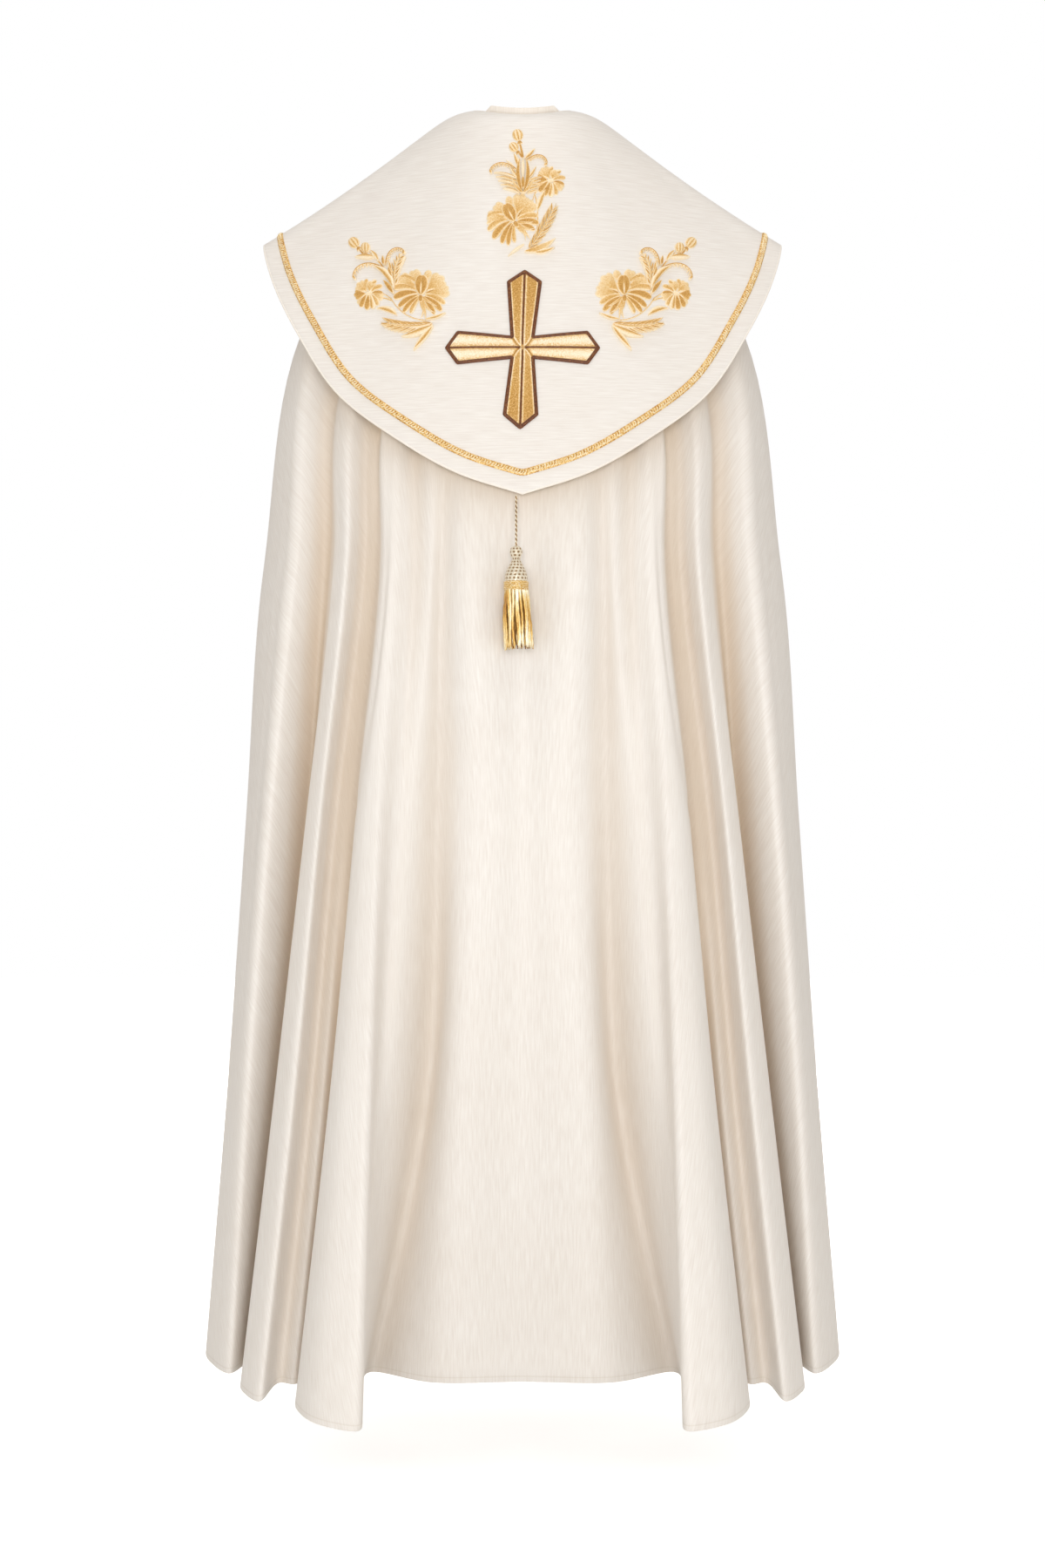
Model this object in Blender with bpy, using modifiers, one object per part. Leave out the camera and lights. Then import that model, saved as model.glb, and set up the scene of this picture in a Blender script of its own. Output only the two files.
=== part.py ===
"""Cope vestment in worn form: a hollow cloth cloak with a hood, braid, cross and tassel.

Frame: metres, +Z up. The origin is the centre of the neck opening, where the wearer holds the
cope up. The back of the cope faces -Y and +X is its right-hand side when seen from behind.
"""

import math
from typing import NamedTuple

import bmesh
import bpy
import numpy as np

NAME = "cope_vestment"

# Walls and gaps
CLOAK_WALL = 0.002
HOOD_WALL = 0.0024
BAND_WALL = 0.002
BAND_COLUMNS = 22
GAP = 0.0004
LAID_GAP = 0.0006

# Neckline: an oval, highest at the shoulders
NECK_HALF_WIDTH = 0.062
NECK_HALF_DEPTH = 0.066
NECK_BACK_Z = 0.004
NECK_SIDE_Z = 0.019
NECK_FRONT_Z = -0.030
BAND_INSET = 0.0026
BAND_RISE = 0.008
BAND_SIDE_RISE = 0.0008
BAND_RISE_ANGLES = (37.0, 45.0)
BAND_DROP = 0.005

# Cloak
HEM_Z = -1.395
LEVELS = {"elbow": -0.50, "hip": -0.79, "knee": -1.07}
UNDER_HOOD = 0.0042
YOKE_ROWS = (0.0, 0.15, 0.4, 0.7, 1.0)
YOKE_STEP = 0.05
CLOAK_ROW_STEPS = (1, 1, 1, 1, 3, 2, 2, 3)

# Hood
HOOD_TURN = 0.10
HOOD_TURN_SOFTNESS = 0.07
HOOD_FULLNESS = 0.30
HOOD_SAG = 0.007
HOOD_STEPS_ALONG = 2
HOOD_STEPS_DOWN = 9
EDGE_STEPS = 12
NEAR_EDGE = 0.85

# Braid on the hood
BRAID_INSET = 0.0215
BRAID_WIDTH = 0.0066
BRAID_WALL = 0.0011
BRAID_COLUMNS = 56
BRAID_STRIP = 0.01

# Cross on the hood
CROSS_CENTRE_Z = -0.2735
CROSS_LEAN = math.radians(1.9)
CROSS_WAIST = 0.0110
CROSS_WALL = 0.0018
CROSS_SEAM = 0.0004
CROSS_LAYING_Y = -0.4

# Tassel
TASSEL_X = -0.0068
TASSEL_Y = -0.2130
CORD_DIAMETER = 0.0020
CORD_TOP_Z = -0.4385
CORD_TOP_Y = -0.2025
CORD_POINTS = 5
STRAND_SIDES = 20
STRAND_GAP = 0.00028
STRAND_STEPS = 2
STRAND_LENGTH = 0.0640
STRAND_UNEVEN = 0.05
STRAND_FLARE = 0.30
STRAND_SWING = 0.0026

# Closing tab on the chest
TAB_TOP_Z = -0.085
TAB_BOTTOM_Z = -0.150
TAB_HALF_WIDTH = 0.062
TAB_WALL = 0.003
TAB_LIFT = 0.0022
TAB_FRONTS_X = 0.040
TAB_FRONTS_ANGLE = 118.0
TAB_SAMPLES = 60


class EdgePoint(NamedTuple):
    """A point of the hood's lower edge, and the cloak's point that lies under it."""

    name: str
    angle: float
    edge: tuple
    under: tuple


HOOD_EDGE = (
    EdgePoint("tip", 0, (0.000, -0.202, -0.436), (0.000, -0.195, -0.436)),
    EdgePoint("low", 18, (0.072, -0.198, -0.412), (0.071, -0.190, -0.412)),
    EdgePoint("lower", 36, (0.141, -0.180, -0.371), (0.139, -0.171, -0.371)),
    EdgePoint("flank", 52, (0.201, -0.148, -0.323), (0.193, -0.137, -0.323)),
    EdgePoint("side", 66, (0.251, -0.103, -0.247), (0.229, -0.092, -0.250)),
    EdgePoint("upper", 78, (0.283, -0.052, -0.180), (0.237, -0.048, -0.200)),
    EdgePoint("corner", 90, (0.2965, 0.000, -0.131), (0.239, 0.000, -0.180)),
    EdgePoint("shoulder", 104, (0.280, 0.070, -0.147), (0.231, 0.062, -0.185)),
    EdgePoint("front", 122, (0.215, 0.125, -0.185), (0.193, 0.113, -0.205)),
    EdgePoint("chest", 140, (0.120, 0.155, -0.215), (0.112, 0.145, -0.226)),
    EdgePoint("front_edge", 155, (0.040, 0.165, -0.228), (0.038, 0.158, -0.236)),
)


class Fold(NamedTuple):
    """A line of the cloak from neck to hem: its neck angle, its (x, y) at each level, its tuck
    under the hood's edge and its droop below the hem line."""

    name: str
    angle: float
    elbow: tuple
    hip: tuple
    knee: tuple
    hem: tuple
    tuck: float
    droop: float
    steps: int


FOLDS = (
    Fold("centre_back", 0.0, (0.000, -0.191), (0.000, -0.200), (0.000, -0.202), (0.000, -0.205), 0.0, 0.0, 3),
    Fold("panel_ridge", 17.0, (0.069, -0.199), (0.062, -0.203), (0.079, -0.210), (0.097, -0.209), 0.0, 0.0, 3),
    Fold("panel_valley", 21.5, (0.089, -0.184), (0.092, -0.180), (0.101, -0.166), (0.166, -0.152), 0.003, 0.0, 2),
    Fold("inner_rib", 25.0, (0.098, -0.188), (0.118, -0.197), (0.142, -0.214), (0.171, -0.235), 0.0, 0.003, 2),
    Fold("inner_face", 30.0, (0.117, -0.178), (0.137, -0.201), (0.152, -0.224), (0.170, -0.295), 0.008, 0.012, 3),
    Fold("back_ridge", 35.5, (0.137, -0.188), (0.156, -0.222), (0.165, -0.288), (0.171, -0.359), 0.0, 0.020, 3),
    Fold("back_face", 37.5, (0.144, -0.188), (0.168, -0.217), (0.186, -0.278), (0.208, -0.344), 0.0, 0.017, 3),
    Fold("back_edge", 40.0, (0.150, -0.182), (0.178, -0.205), (0.203, -0.250), (0.239, -0.285), 0.0, 0.011, 3),
    Fold("back_valley", 42.0, (0.162, -0.150), (0.188, -0.164), (0.204, -0.185), (0.234, -0.196), 0.012, 0.0, 2),
    Fold("small_ridge", 43.5, (0.167, -0.148), (0.196, -0.160), (0.215, -0.194), (0.247, -0.219), 0.012, 0.0, 2),
    Fold("small_valley", 45.0, (0.172, -0.146), (0.204, -0.156), (0.227, -0.184), (0.260, -0.209), 0.012, 0.0, 3),
    Fold("mid_ridge", 50.0, (0.192, -0.171), (0.221, -0.187), (0.245, -0.216), (0.279, -0.248), 0.0, 0.012, 3),
    Fold("mid_edge", 54.0, (0.205, -0.150), (0.236, -0.162), (0.266, -0.182), (0.303, -0.205), 0.004, 0.010, 3),
    Fold("mid_valley", 58.0, (0.218, -0.112), (0.240, -0.107), (0.268, -0.102), (0.306, -0.100), 0.020, 0.0, 3),
    Fold("side_ridge", 66.0, (0.250, -0.130), (0.278, -0.152), (0.300, -0.155), (0.321, -0.140), 0.004, 0.004, 3),
    Fold("side_face", 76.0, (0.279, -0.078), (0.303, -0.090), (0.325, -0.090), (0.350, -0.085), 0.006, 0.002, 3),
    Fold("side", 88.0, (0.296, 0.000), (0.315, 0.000), (0.333, 0.000), (0.360, 0.000), 0.007, 0.0, 3),
    Fold("arm_valley", 104.0, (0.270, 0.085), (0.286, 0.092), (0.303, 0.098), (0.325, 0.100), 0.004, 0.0, 3),
    Fold("arm_ridge", 116.0, (0.222, 0.138), (0.246, 0.158), (0.276, 0.178), (0.308, 0.196), 0.0, 0.004, 3),
    Fold("chest_valley", 124.0, (0.178, 0.140), (0.192, 0.147), (0.214, 0.146), (0.238, 0.142), 0.004, 0.0, 4),
    Fold("chest_ridge", 135.0, (0.126, 0.166), (0.143, 0.198), (0.164, 0.230), (0.188, 0.260), 0.0, 0.006, 3),
    Fold("inner_valley", 144.0, (0.084, 0.156), (0.096, 0.173), (0.110, 0.186), (0.125, 0.198), 0.0, 0.0, 3),
    Fold("front_edge", 155.0, (0.040, 0.172), (0.046, 0.202), (0.053, 0.232), (0.060, 0.262), 0.0, 0.0, 0),
)


class CrossArm(NamedTuple):
    """An arm of the cross: its direction, its corner's reach and half width, its tip's reach."""

    name: str
    turn: float
    reach: float
    half_width: float
    tip: float


CROSS_ARMS = (
    CrossArm("up", 90.0, 0.0745, 0.0171, 0.0865),
    CrossArm("left", 180.0, 0.0705, 0.0171, 0.0825),
    CrossArm("down", 270.0, 0.0753, 0.0172, 0.0898),
    CrossArm("right", 0.0, 0.0705, 0.0171, 0.0825),
)
CROSS_STEPS_ACROSS = 4
CROSS_STEPS_ALONG = 6

# The tassel's head: radius and height, from the cord down to the rim that the strands leave
TASSEL_PROFILE = (
    (0.0014, -0.4940),
    (0.0048, -0.4962),
    (0.0063, -0.5002),
    (0.0050, -0.5048),
    (0.0037, -0.5078),
    (0.0056, -0.5114),
    (0.0088, -0.5180),
    (0.0112, -0.5250),
    (0.0118, -0.5300),
    (0.0124, -0.5330),
    (0.0124, -0.5400),
    (0.0136, -0.5425),
)
STRAND_RINGS = (0.0108, 0.0080, 0.0050)


def clear_scene():
    """Take every object out of the scene."""
    for item in list(bpy.data.objects):
        bpy.data.objects.remove(item, do_unlink=True)


def collection():
    """The collection that holds the parts."""
    found = bpy.data.collections.get(NAME)
    if found is None:
        found = bpy.data.collections.new(NAME)
        bpy.context.scene.collection.children.link(found)
    return found


def material(name, colour, roughness, metallic=0.0):
    """A plain Principled material."""
    made = bpy.data.materials.new(name)
    made.use_nodes = True
    shader = made.node_tree.nodes["Principled BSDF"]
    shader.inputs["Base Color"].default_value = (*colour, 1.0)
    shader.inputs["Roughness"].default_value = roughness
    shader.inputs["Metallic"].default_value = metallic
    return made


def add_object(name, data, finish):
    """Link a named object with its material."""
    data.materials.append(finish)
    made = bpy.data.objects.new(name, data)
    collection().objects.link(made)
    return made


def through(points, steps, even_start=False):
    """Rows on a smooth path through rows of points, with steps[i] intervals after row i.

    Each column has its own chord-length knots, and its tangents come from the chords on both
    sides. With even_start the path leaves the first row along X alone, as a mirrored half does.
    """
    points = np.asarray(points, float)
    chords = np.linalg.norm(np.diff(points[..., :3], axis=0), axis=-1)[..., None] + 1e-9
    slopes = np.diff(points, axis=0) / chords
    inner = (slopes[:-1] * chords[1:] + slopes[1:] * chords[:-1]) / (chords[:-1] + chords[1:])
    first = slopes[:1] * (np.array([1.0, 0.0, 0.0]) if even_start else 1.0)
    tangents = np.concatenate([first, inner, slopes[-1:]])
    rows = []
    for span, count in enumerate(steps):
        for step in range(count):
            t = step / count
            rows.append(
                (2 * t**3 - 3 * t**2 + 1) * points[span]
                + (t**3 - 2 * t**2 + t) * chords[span] * tangents[span]
                + (3 * t**2 - 2 * t**3) * points[span + 1]
                + (t**3 - t**2) * chords[span] * tangents[span + 1]
            )
    rows.append(points[-1])
    return np.array(rows)


def neck_point(angle, inset=0.0):
    """The neckline's point at an angle round the neck from the centre back, in degrees."""
    turn = np.radians(np.asarray(angle, float))
    side = np.sin(turn) ** 2
    end_z = np.where(turn < math.pi / 2, NECK_BACK_Z, NECK_FRONT_Z)
    height = end_z + (NECK_SIDE_Z - end_z) * side
    x = (NECK_HALF_WIDTH - inset) * np.sin(turn)
    y = -(NECK_HALF_DEPTH - inset) * np.cos(turn)
    return np.stack([x, y, height], axis=-1)


def edge_line(kind, angles):
    """Points of the hood's edge, or of the cloak under it, at the given neck angles."""
    rows = np.array([getattr(point, kind) for point in HOOD_EDGE])
    dense = through(rows, [EDGE_STEPS] * (len(rows) - 1))
    named = [point.angle for point in HOOD_EDGE]
    dense_angles = np.interp(np.arange(len(dense)) / EDGE_STEPS, range(len(rows)), named)
    return np.stack([np.interp(angles, dense_angles, dense[:, i]) for i in range(3)], axis=-1)


def hood_fall(share):
    """Share of the drop at a share of a ruling: flat beside the neck, then an even slope."""
    def bend(value):
        away = value - HOOD_TURN
        return away + np.sqrt(away**2 + HOOD_TURN_SOFTNESS**2)
    return (bend(share) - bend(0.0)) / (bend(1.0) - bend(0.0))


def draped(kind, angles, shares):
    """Rulings from the neckline to an edge line: a grid of rows by share and columns by angle.

    The shares are one for each row, or one for each row and column. Rulings sag at the sides.
    """
    neck = neck_point(angles)[None]
    edge = edge_line(kind, angles)[None]
    share = np.asarray(shares, float)
    share = share[:, None] if share.ndim == 1 else share
    full = HOOD_FULLNESS * np.clip(np.cos(np.radians(angles)), 0, 1) ** 2
    run = (share + full * share * (1 - share))[..., None]
    fall = hood_fall(share)[..., None]
    sag = 4 * HOOD_SAG * np.sin(np.radians(angles)) ** 2 * share * (1 - share)
    level = neck[..., :2] + (edge[..., :2] - neck[..., :2]) * run
    height = neck[..., 2:] + (edge[..., 2:] - neck[..., 2:]) * fall - sag[..., None]
    return np.concatenate([level, height], axis=-1)


def outward(grid):
    """Unit normals of a grid whose rows run down and whose columns run to the front."""
    down = np.gradient(grid, axis=0)
    along = np.gradient(grid, axis=1)
    normal = np.cross(down, along)
    return normal / (np.linalg.norm(normal, axis=-1, keepdims=True) + 1e-12)


def grid_mesh(name, grid):
    """A mesh of quads over a grid of points, facing outwards."""
    rows, columns = grid.shape[:2]
    index = np.arange(rows * columns).reshape(rows, columns)
    quads = np.stack([index[:-1, :-1], index[1:, :-1], index[1:, 1:], index[:-1, 1:]], axis=-1)
    made = bpy.data.meshes.new(name)
    made.from_pydata(grid.reshape(-1, 3).tolist(), [], quads.reshape(-1, 4).tolist())
    made.update()
    return made


def mirror(item):
    """Complete a half that is open at the centre plane."""
    step = item.modifiers.new("other_half", "MIRROR")
    step.use_axis = (True, False, False)
    step.use_clip = True
    step.merge_threshold = 0.0001


def thicken(item, wall, offset):
    """Give a surface its wall, inwards (-1) or outwards (1)."""
    step = item.modifiers.new("wall", "SOLIDIFY")
    step.thickness = wall
    step.offset = offset
    step.use_even_offset = False


def half_shell(name, grid, wall, finish, offset=-1.0):
    """A mirrored shell from the grid of its right half."""
    grid = grid.copy()
    grid[:, 0, 0] = 0.0
    item = add_object(name, grid_mesh(name, grid), finish)
    mirror(item)
    thicken(item, wall, offset)
    item.data.shade_smooth()
    return item


def yoke_rows(angles):
    """The cloak's rows under the hood, from the neckline to the hood's edge.

    They lie UNDER_HOOD inside the hood's surface, and further in by each fold's tuck near the edge.
    """
    rows = draped("under", angles, YOKE_ROWS)
    fine = draped("under", angles, np.arange(0, 1 + YOKE_STEP / 2, YOKE_STEP))
    normals = outward(fine)[np.round(np.array(YOKE_ROWS) / YOKE_STEP).astype(int)]
    normals[0] = (0.0, 0.0, 1.0)
    normals[:, 0, 0] = 0.0
    tuck = np.array([fold.tuck for fold in FOLDS]) * np.array(YOKE_ROWS)[:, None] ** 3
    return rows - normals * (UNDER_HOOD + tuck)[..., None]


def cloak_grid():
    """The right half of the cloak: rows from neck to hem, columns from centre back to front edge."""
    upper = yoke_rows(np.array([fold.angle for fold in FOLDS]))
    lower = [[(*getattr(fold, level), z) for fold in FOLDS] for level, z in LEVELS.items()]
    hem = [(*fold.hem, HEM_Z - fold.droop) for fold in FOLDS]
    stations = np.concatenate([upper, np.array(lower), np.array([hem])])
    steps = [fold.steps for fold in FOLDS[:-1]]
    columns = through(stations.transpose(1, 0, 2), steps, even_start=True)
    return through(columns.transpose(1, 0, 2), CLOAK_ROW_STEPS)


def hood_angles():
    """Neck angles of the hood's columns, evenly set between the points of its edge."""
    named = [point.angle for point in HOOD_EDGE]
    places = np.arange(0, len(named) - 1 + 0.5 / HOOD_STEPS_ALONG, 1 / HOOD_STEPS_ALONG)
    return np.interp(places, range(len(named)), named)


def hood_shell(finish):
    """The hood: a stiff cape over back and shoulders."""
    grid = draped("edge", hood_angles(), np.linspace(0, 1, HOOD_STEPS_DOWN + 1))
    return half_shell("hood", grid, HOOD_WALL, finish)


def inset_shares(angles, inset):
    """Shares of the rulings that lie at a distance from the hood's edge, measured square to it."""
    edge = edge_line("edge", angles)
    along = np.gradient(edge, axis=0)
    along /= np.linalg.norm(along, axis=1, keepdims=True)
    ruling = edge - draped("edge", angles, [NEAR_EDGE])[0]
    length = np.linalg.norm(ruling, axis=1)
    square = np.sqrt(1 - (np.sum(along * ruling, axis=1) / length) ** 2)
    return 1 - (1 - NEAR_EDGE) * inset / (length * square)


def braid(finish):
    """The braid that follows the hood's edge, made from the hood's points moved out."""
    angles = np.linspace(0, HOOD_EDGE[-1].angle, BRAID_COLUMNS)
    rows = []
    for inset in (BRAID_INSET + BRAID_WIDTH / 2, BRAID_INSET - BRAID_WIDTH / 2):
        shares = inset_shares(angles, inset)
        strip = draped("edge", angles, np.stack([shares - BRAID_STRIP, shares]))
        normal = outward(strip)[1]
        normal[0, 0] = 0.0
        rows.append(strip[1] + normal * LAID_GAP)
    return half_shell("hood_braid", np.array(rows), BRAID_WALL, finish, offset=1.0)


def cross_surface():
    """The cross laid flat at its place: four arms round a square, in a plane behind the hood."""
    across = np.linspace(-1, 1, CROSS_STEPS_ACROSS + 1)
    middle = np.stack(np.meshgrid(across * CROSS_WAIST, across * CROSS_WAIST), axis=-1)
    patches = [middle]
    share = np.linspace(0, 1, CROSS_STEPS_ALONG + 1)[:, None]
    for arm in CROSS_ARMS:
        ends = arm.reach + (arm.tip - arm.reach) * (1 - np.abs(across))
        out = CROSS_WAIST + (ends - CROSS_WAIST) * share
        side = across * (CROSS_WAIST + (arm.half_width - CROSS_WAIST) * share)
        turn = math.radians(arm.turn)
        lean = math.tan(CROSS_LEAN) * math.sin(turn) * (out - CROSS_WAIST)
        x = out * math.cos(turn) + side * math.sin(turn) + lean
        z = out * math.sin(turn) - side * math.cos(turn)
        patches.append(np.stack([x, z], axis=-1))
    return patches


def cross(finish, hood):
    """The padded cross, dropped on the back of the hood and given its wall outwards."""
    shape = bmesh.new()
    for patch in cross_surface():
        x, z = patch[..., 0], CROSS_CENTRE_Z + patch[..., 1]
        made = grid_mesh("patch", np.stack([x, np.full_like(x, CROSS_LAYING_Y), z], axis=-1))
        shape.from_mesh(made)
        bpy.data.meshes.remove(made)
    bmesh.ops.remove_doubles(shape, verts=shape.verts, dist=CROSS_SEAM)
    bmesh.ops.recalc_face_normals(shape, faces=shape.faces)
    if shape.faces[0].normal.y > 0:
        bmesh.ops.reverse_faces(shape, faces=shape.faces)
    data = bpy.data.meshes.new("cross")
    shape.to_mesh(data)
    shape.free()
    item = add_object("cross", data, finish)
    lay = item.modifiers.new("lay_on_hood", "SHRINKWRAP")
    lay.wrap_method = "PROJECT"
    lay.use_project_y = True
    lay.use_negative_direction = False
    lay.use_positive_direction = True
    lay.target = hood
    lay.offset = LAID_GAP
    thicken(item, CROSS_WALL, 1.0)
    return item


def neckband(finish):
    """The low band round the neck opening, which stands up behind the neck alone."""
    angles = np.linspace(0, HOOD_EDGE[-1].angle, BAND_COLUMNS)
    line = neck_point(angles, inset=BAND_INSET)
    rise = np.interp(angles, BAND_RISE_ANGLES, (BAND_RISE, BAND_SIDE_RISE))
    top = line + np.stack([0 * rise, 0 * rise, rise], axis=-1)
    foot = line - np.array([0.0, 0.0, BAND_DROP])
    return half_shell("neckband", np.array([top, (top + foot) / 2, foot]), BAND_WALL, finish)


def closing_tab(finish):
    """The tab that closes the fronts: it spans the opening over the hood's front ends."""
    angles = np.linspace(TAB_FRONTS_ANGLE, HOOD_EDGE[-1].angle, TAB_SAMPLES)
    front = draped("edge", angles, np.linspace(0, 1, TAB_SAMPLES)).reshape(-1, 3)
    rows = []
    for height in np.linspace(TAB_BOTTOM_Z, TAB_TOP_Z, 4):
        row = []
        for side in np.linspace(0, TAB_HALF_WIDTH, 7):
            away = (front[:, 0] - max(side, TAB_FRONTS_X)) ** 2 + (front[:, 2] - height) ** 2
            row.append((side, front[np.argmin(away), 1], height))
        rows.append(row)
    grid = np.array(rows)
    grid[..., 1] = grid[..., 1].max(axis=1, keepdims=True) + TAB_LIFT
    return half_shell("closing_tab", grid, TAB_WALL, finish, offset=1.0)


def tassel_cord(finish):
    """The cord from the hood's tip to the tassel's head."""
    line = bpy.data.curves.new("tassel_cord", "CURVE")
    line.dimensions = "3D"
    line.bevel_depth = CORD_DIAMETER / 2
    line.bevel_resolution = 1
    line.use_fill_caps = True
    spline = line.splines.new("POLY")
    bottom = TASSEL_PROFILE[0][1] + GAP
    heights = np.linspace(CORD_TOP_Z, bottom, CORD_POINTS)
    spline.points.add(len(heights) - 1)
    for point, z in zip(spline.points, heights):
        share = (z - CORD_TOP_Z) / (bottom - CORD_TOP_Z)
        point.co = (TASSEL_X, CORD_TOP_Y + (TASSEL_Y - CORD_TOP_Y) * share, z, 1.0)
    return add_object("tassel_cord", line, finish)


def grow_strand(shape, face):
    """Draw one face of the tassel's underside down into a strand of four sides.

    The strands flare from the tassel's axis, swing to +X, and end at slightly different heights.
    """
    bmesh.ops.inset_individual(shape, faces=[face], thickness=STRAND_GAP, use_even_offset=True)
    start = [vert.co.copy() for vert in face.verts]
    centre = face.calc_center_median()
    angle = math.atan2(centre.y, centre.x)
    uneven = (1 + math.sin(7 * angle + 900 * centre.xy.length)) / 2
    length = STRAND_LENGTH * (1.0 - STRAND_UNEVEN * uneven)
    for step in range(1, STRAND_STEPS + 1):
        share = step / STRAND_STEPS
        face = bmesh.ops.extrude_discrete_faces(shape, faces=[face])["faces"][0]
        for vert, root in zip(face.verts, start):
            vert.co.x = root.x * (1 + STRAND_FLARE * share) + STRAND_SWING * share**1.5
            vert.co.y = root.y * (1 + STRAND_FLARE * share * 0.5)
            vert.co.z = root.z - length * share


def tassel(finish):
    """The tassel: a turned head whose underside is drawn down into strands."""
    shape = bmesh.new()
    rim_z = TASSEL_PROFILE[-1][1]
    profile = [(0.0, TASSEL_PROFILE[0][1]), *TASSEL_PROFILE]
    profile += [(radius, rim_z) for radius in STRAND_RINGS] + [(0.0, rim_z)]
    verts = [shape.verts.new((radius, 0.0, z)) for radius, z in profile]
    edges = [shape.edges.new(pair) for pair in zip(verts, verts[1:])]
    bmesh.ops.spin(shape, geom=verts + edges, cent=(0, 0, 0), axis=(0, 0, 1), angle=2 * math.pi,
                   steps=STRAND_SIDES, use_merge=True)
    bmesh.ops.remove_doubles(shape, verts=shape.verts, dist=0.00005)
    bmesh.ops.recalc_face_normals(shape, faces=shape.faces)
    under = [face for face in shape.faces if face.normal.z < -0.99 and len(face.verts) == 4]
    for face in under:
        grow_strand(shape, face)
    data = bpy.data.meshes.new("tassel")
    shape.to_mesh(data)
    shape.free()
    item = add_object("tassel", data, finish)
    item.location = (TASSEL_X, TASSEL_Y, 0.0)
    return item


def build():
    """Build every part of the cope."""
    clear_scene()
    ivory = material("ivory_cloth", (0.88, 0.82, 0.74), 0.55)
    hood_ivory = material("hood_cloth", (0.90, 0.85, 0.78), 0.55)
    band_ivory = material("band_cloth", (0.90, 0.84, 0.76), 0.6)
    tab_ivory = material("tab_cloth", (0.88, 0.83, 0.75), 0.55)
    braid_gold = material("gold_braid", (0.80, 0.58, 0.24), 0.5)
    cross_gold = material("cross_gold", (0.72, 0.50, 0.20), 0.5)
    cord_gold = material("cord_gold", (0.62, 0.44, 0.20), 0.6)
    tassel_gold = material("tassel_gold", (0.84, 0.62, 0.28), 0.5)
    half_shell("cloak", cloak_grid(), CLOAK_WALL, ivory)
    hood = hood_shell(hood_ivory)
    braid(braid_gold)
    cross(cross_gold, hood)
    neckband(band_ivory)
    closing_tab(tab_ivory)
    tassel_cord(cord_gold)
    tassel(tassel_gold)


if __name__ == "__main__":
    build()
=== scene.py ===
"""Looks of a cope vestment in worn form: ivory cloth, gold embroidery, braid, cross and tassel.

Frame: metres, +Z up. The origin is the centre of the neck opening, the back of the cope faces -Y
and +X is its right-hand side when seen from behind.
"""

import logging
import math
from collections.abc import Callable
from dataclasses import dataclass, field
from enum import Enum
from typing import NamedTuple

import bmesh
import bpy
import numpy as np
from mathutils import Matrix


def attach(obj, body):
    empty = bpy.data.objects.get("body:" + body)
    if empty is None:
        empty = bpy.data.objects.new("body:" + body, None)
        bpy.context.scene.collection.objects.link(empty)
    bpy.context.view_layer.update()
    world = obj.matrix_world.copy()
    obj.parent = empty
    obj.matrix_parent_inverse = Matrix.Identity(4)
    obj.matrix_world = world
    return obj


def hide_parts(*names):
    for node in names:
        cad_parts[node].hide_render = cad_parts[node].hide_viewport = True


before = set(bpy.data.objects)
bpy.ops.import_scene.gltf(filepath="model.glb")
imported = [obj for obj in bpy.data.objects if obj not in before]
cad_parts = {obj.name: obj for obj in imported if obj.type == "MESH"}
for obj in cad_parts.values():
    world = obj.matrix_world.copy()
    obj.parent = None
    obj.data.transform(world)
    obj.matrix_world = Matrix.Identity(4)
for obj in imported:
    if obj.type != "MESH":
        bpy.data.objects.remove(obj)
log = logging.getLogger("cope")

BODY = "root"
MM = 0.001
TINY = 1e-12
TURN = 2 * math.pi


# Tables of the cope's form


class EdgePoint(NamedTuple):
    """A point of the hood's lower edge, and the cloak's point that lies under it."""

    name: str
    angle: float
    edge: tuple
    under: tuple


HOOD_EDGE = (
    EdgePoint("tip", 0, (0.000, -0.202, -0.436), (0.000, -0.195, -0.436)),
    EdgePoint("low", 18, (0.072, -0.198, -0.412), (0.071, -0.190, -0.412)),
    EdgePoint("lower", 36, (0.141, -0.180, -0.371), (0.139, -0.171, -0.371)),
    EdgePoint("flank", 52, (0.201, -0.148, -0.323), (0.193, -0.137, -0.323)),
    EdgePoint("side", 66, (0.251, -0.103, -0.247), (0.229, -0.092, -0.250)),
    EdgePoint("upper", 78, (0.283, -0.052, -0.180), (0.237, -0.048, -0.200)),
    EdgePoint("corner", 90, (0.2965, 0.000, -0.131), (0.239, 0.000, -0.180)),
    EdgePoint("shoulder", 104, (0.280, 0.070, -0.147), (0.231, 0.062, -0.185)),
    EdgePoint("front", 122, (0.215, 0.125, -0.185), (0.193, 0.113, -0.205)),
    EdgePoint("chest", 140, (0.120, 0.155, -0.215), (0.112, 0.145, -0.226)),
    EdgePoint("front_edge", 155, (0.040, 0.165, -0.228), (0.038, 0.158, -0.236)),
)


class Fold(NamedTuple):
    """A line of the cloak: its neck angle, its (x, y) at each level, its tuck and its droop.

    The tuck is how far the line is drawn in under the hood's edge, and the droop is how far its
    hem hangs below the cloak's hem line.
    """

    name: str
    angle: float
    elbow: tuple
    hip: tuple
    knee: tuple
    hem: tuple
    tuck: float
    droop: float
    steps: int


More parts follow.
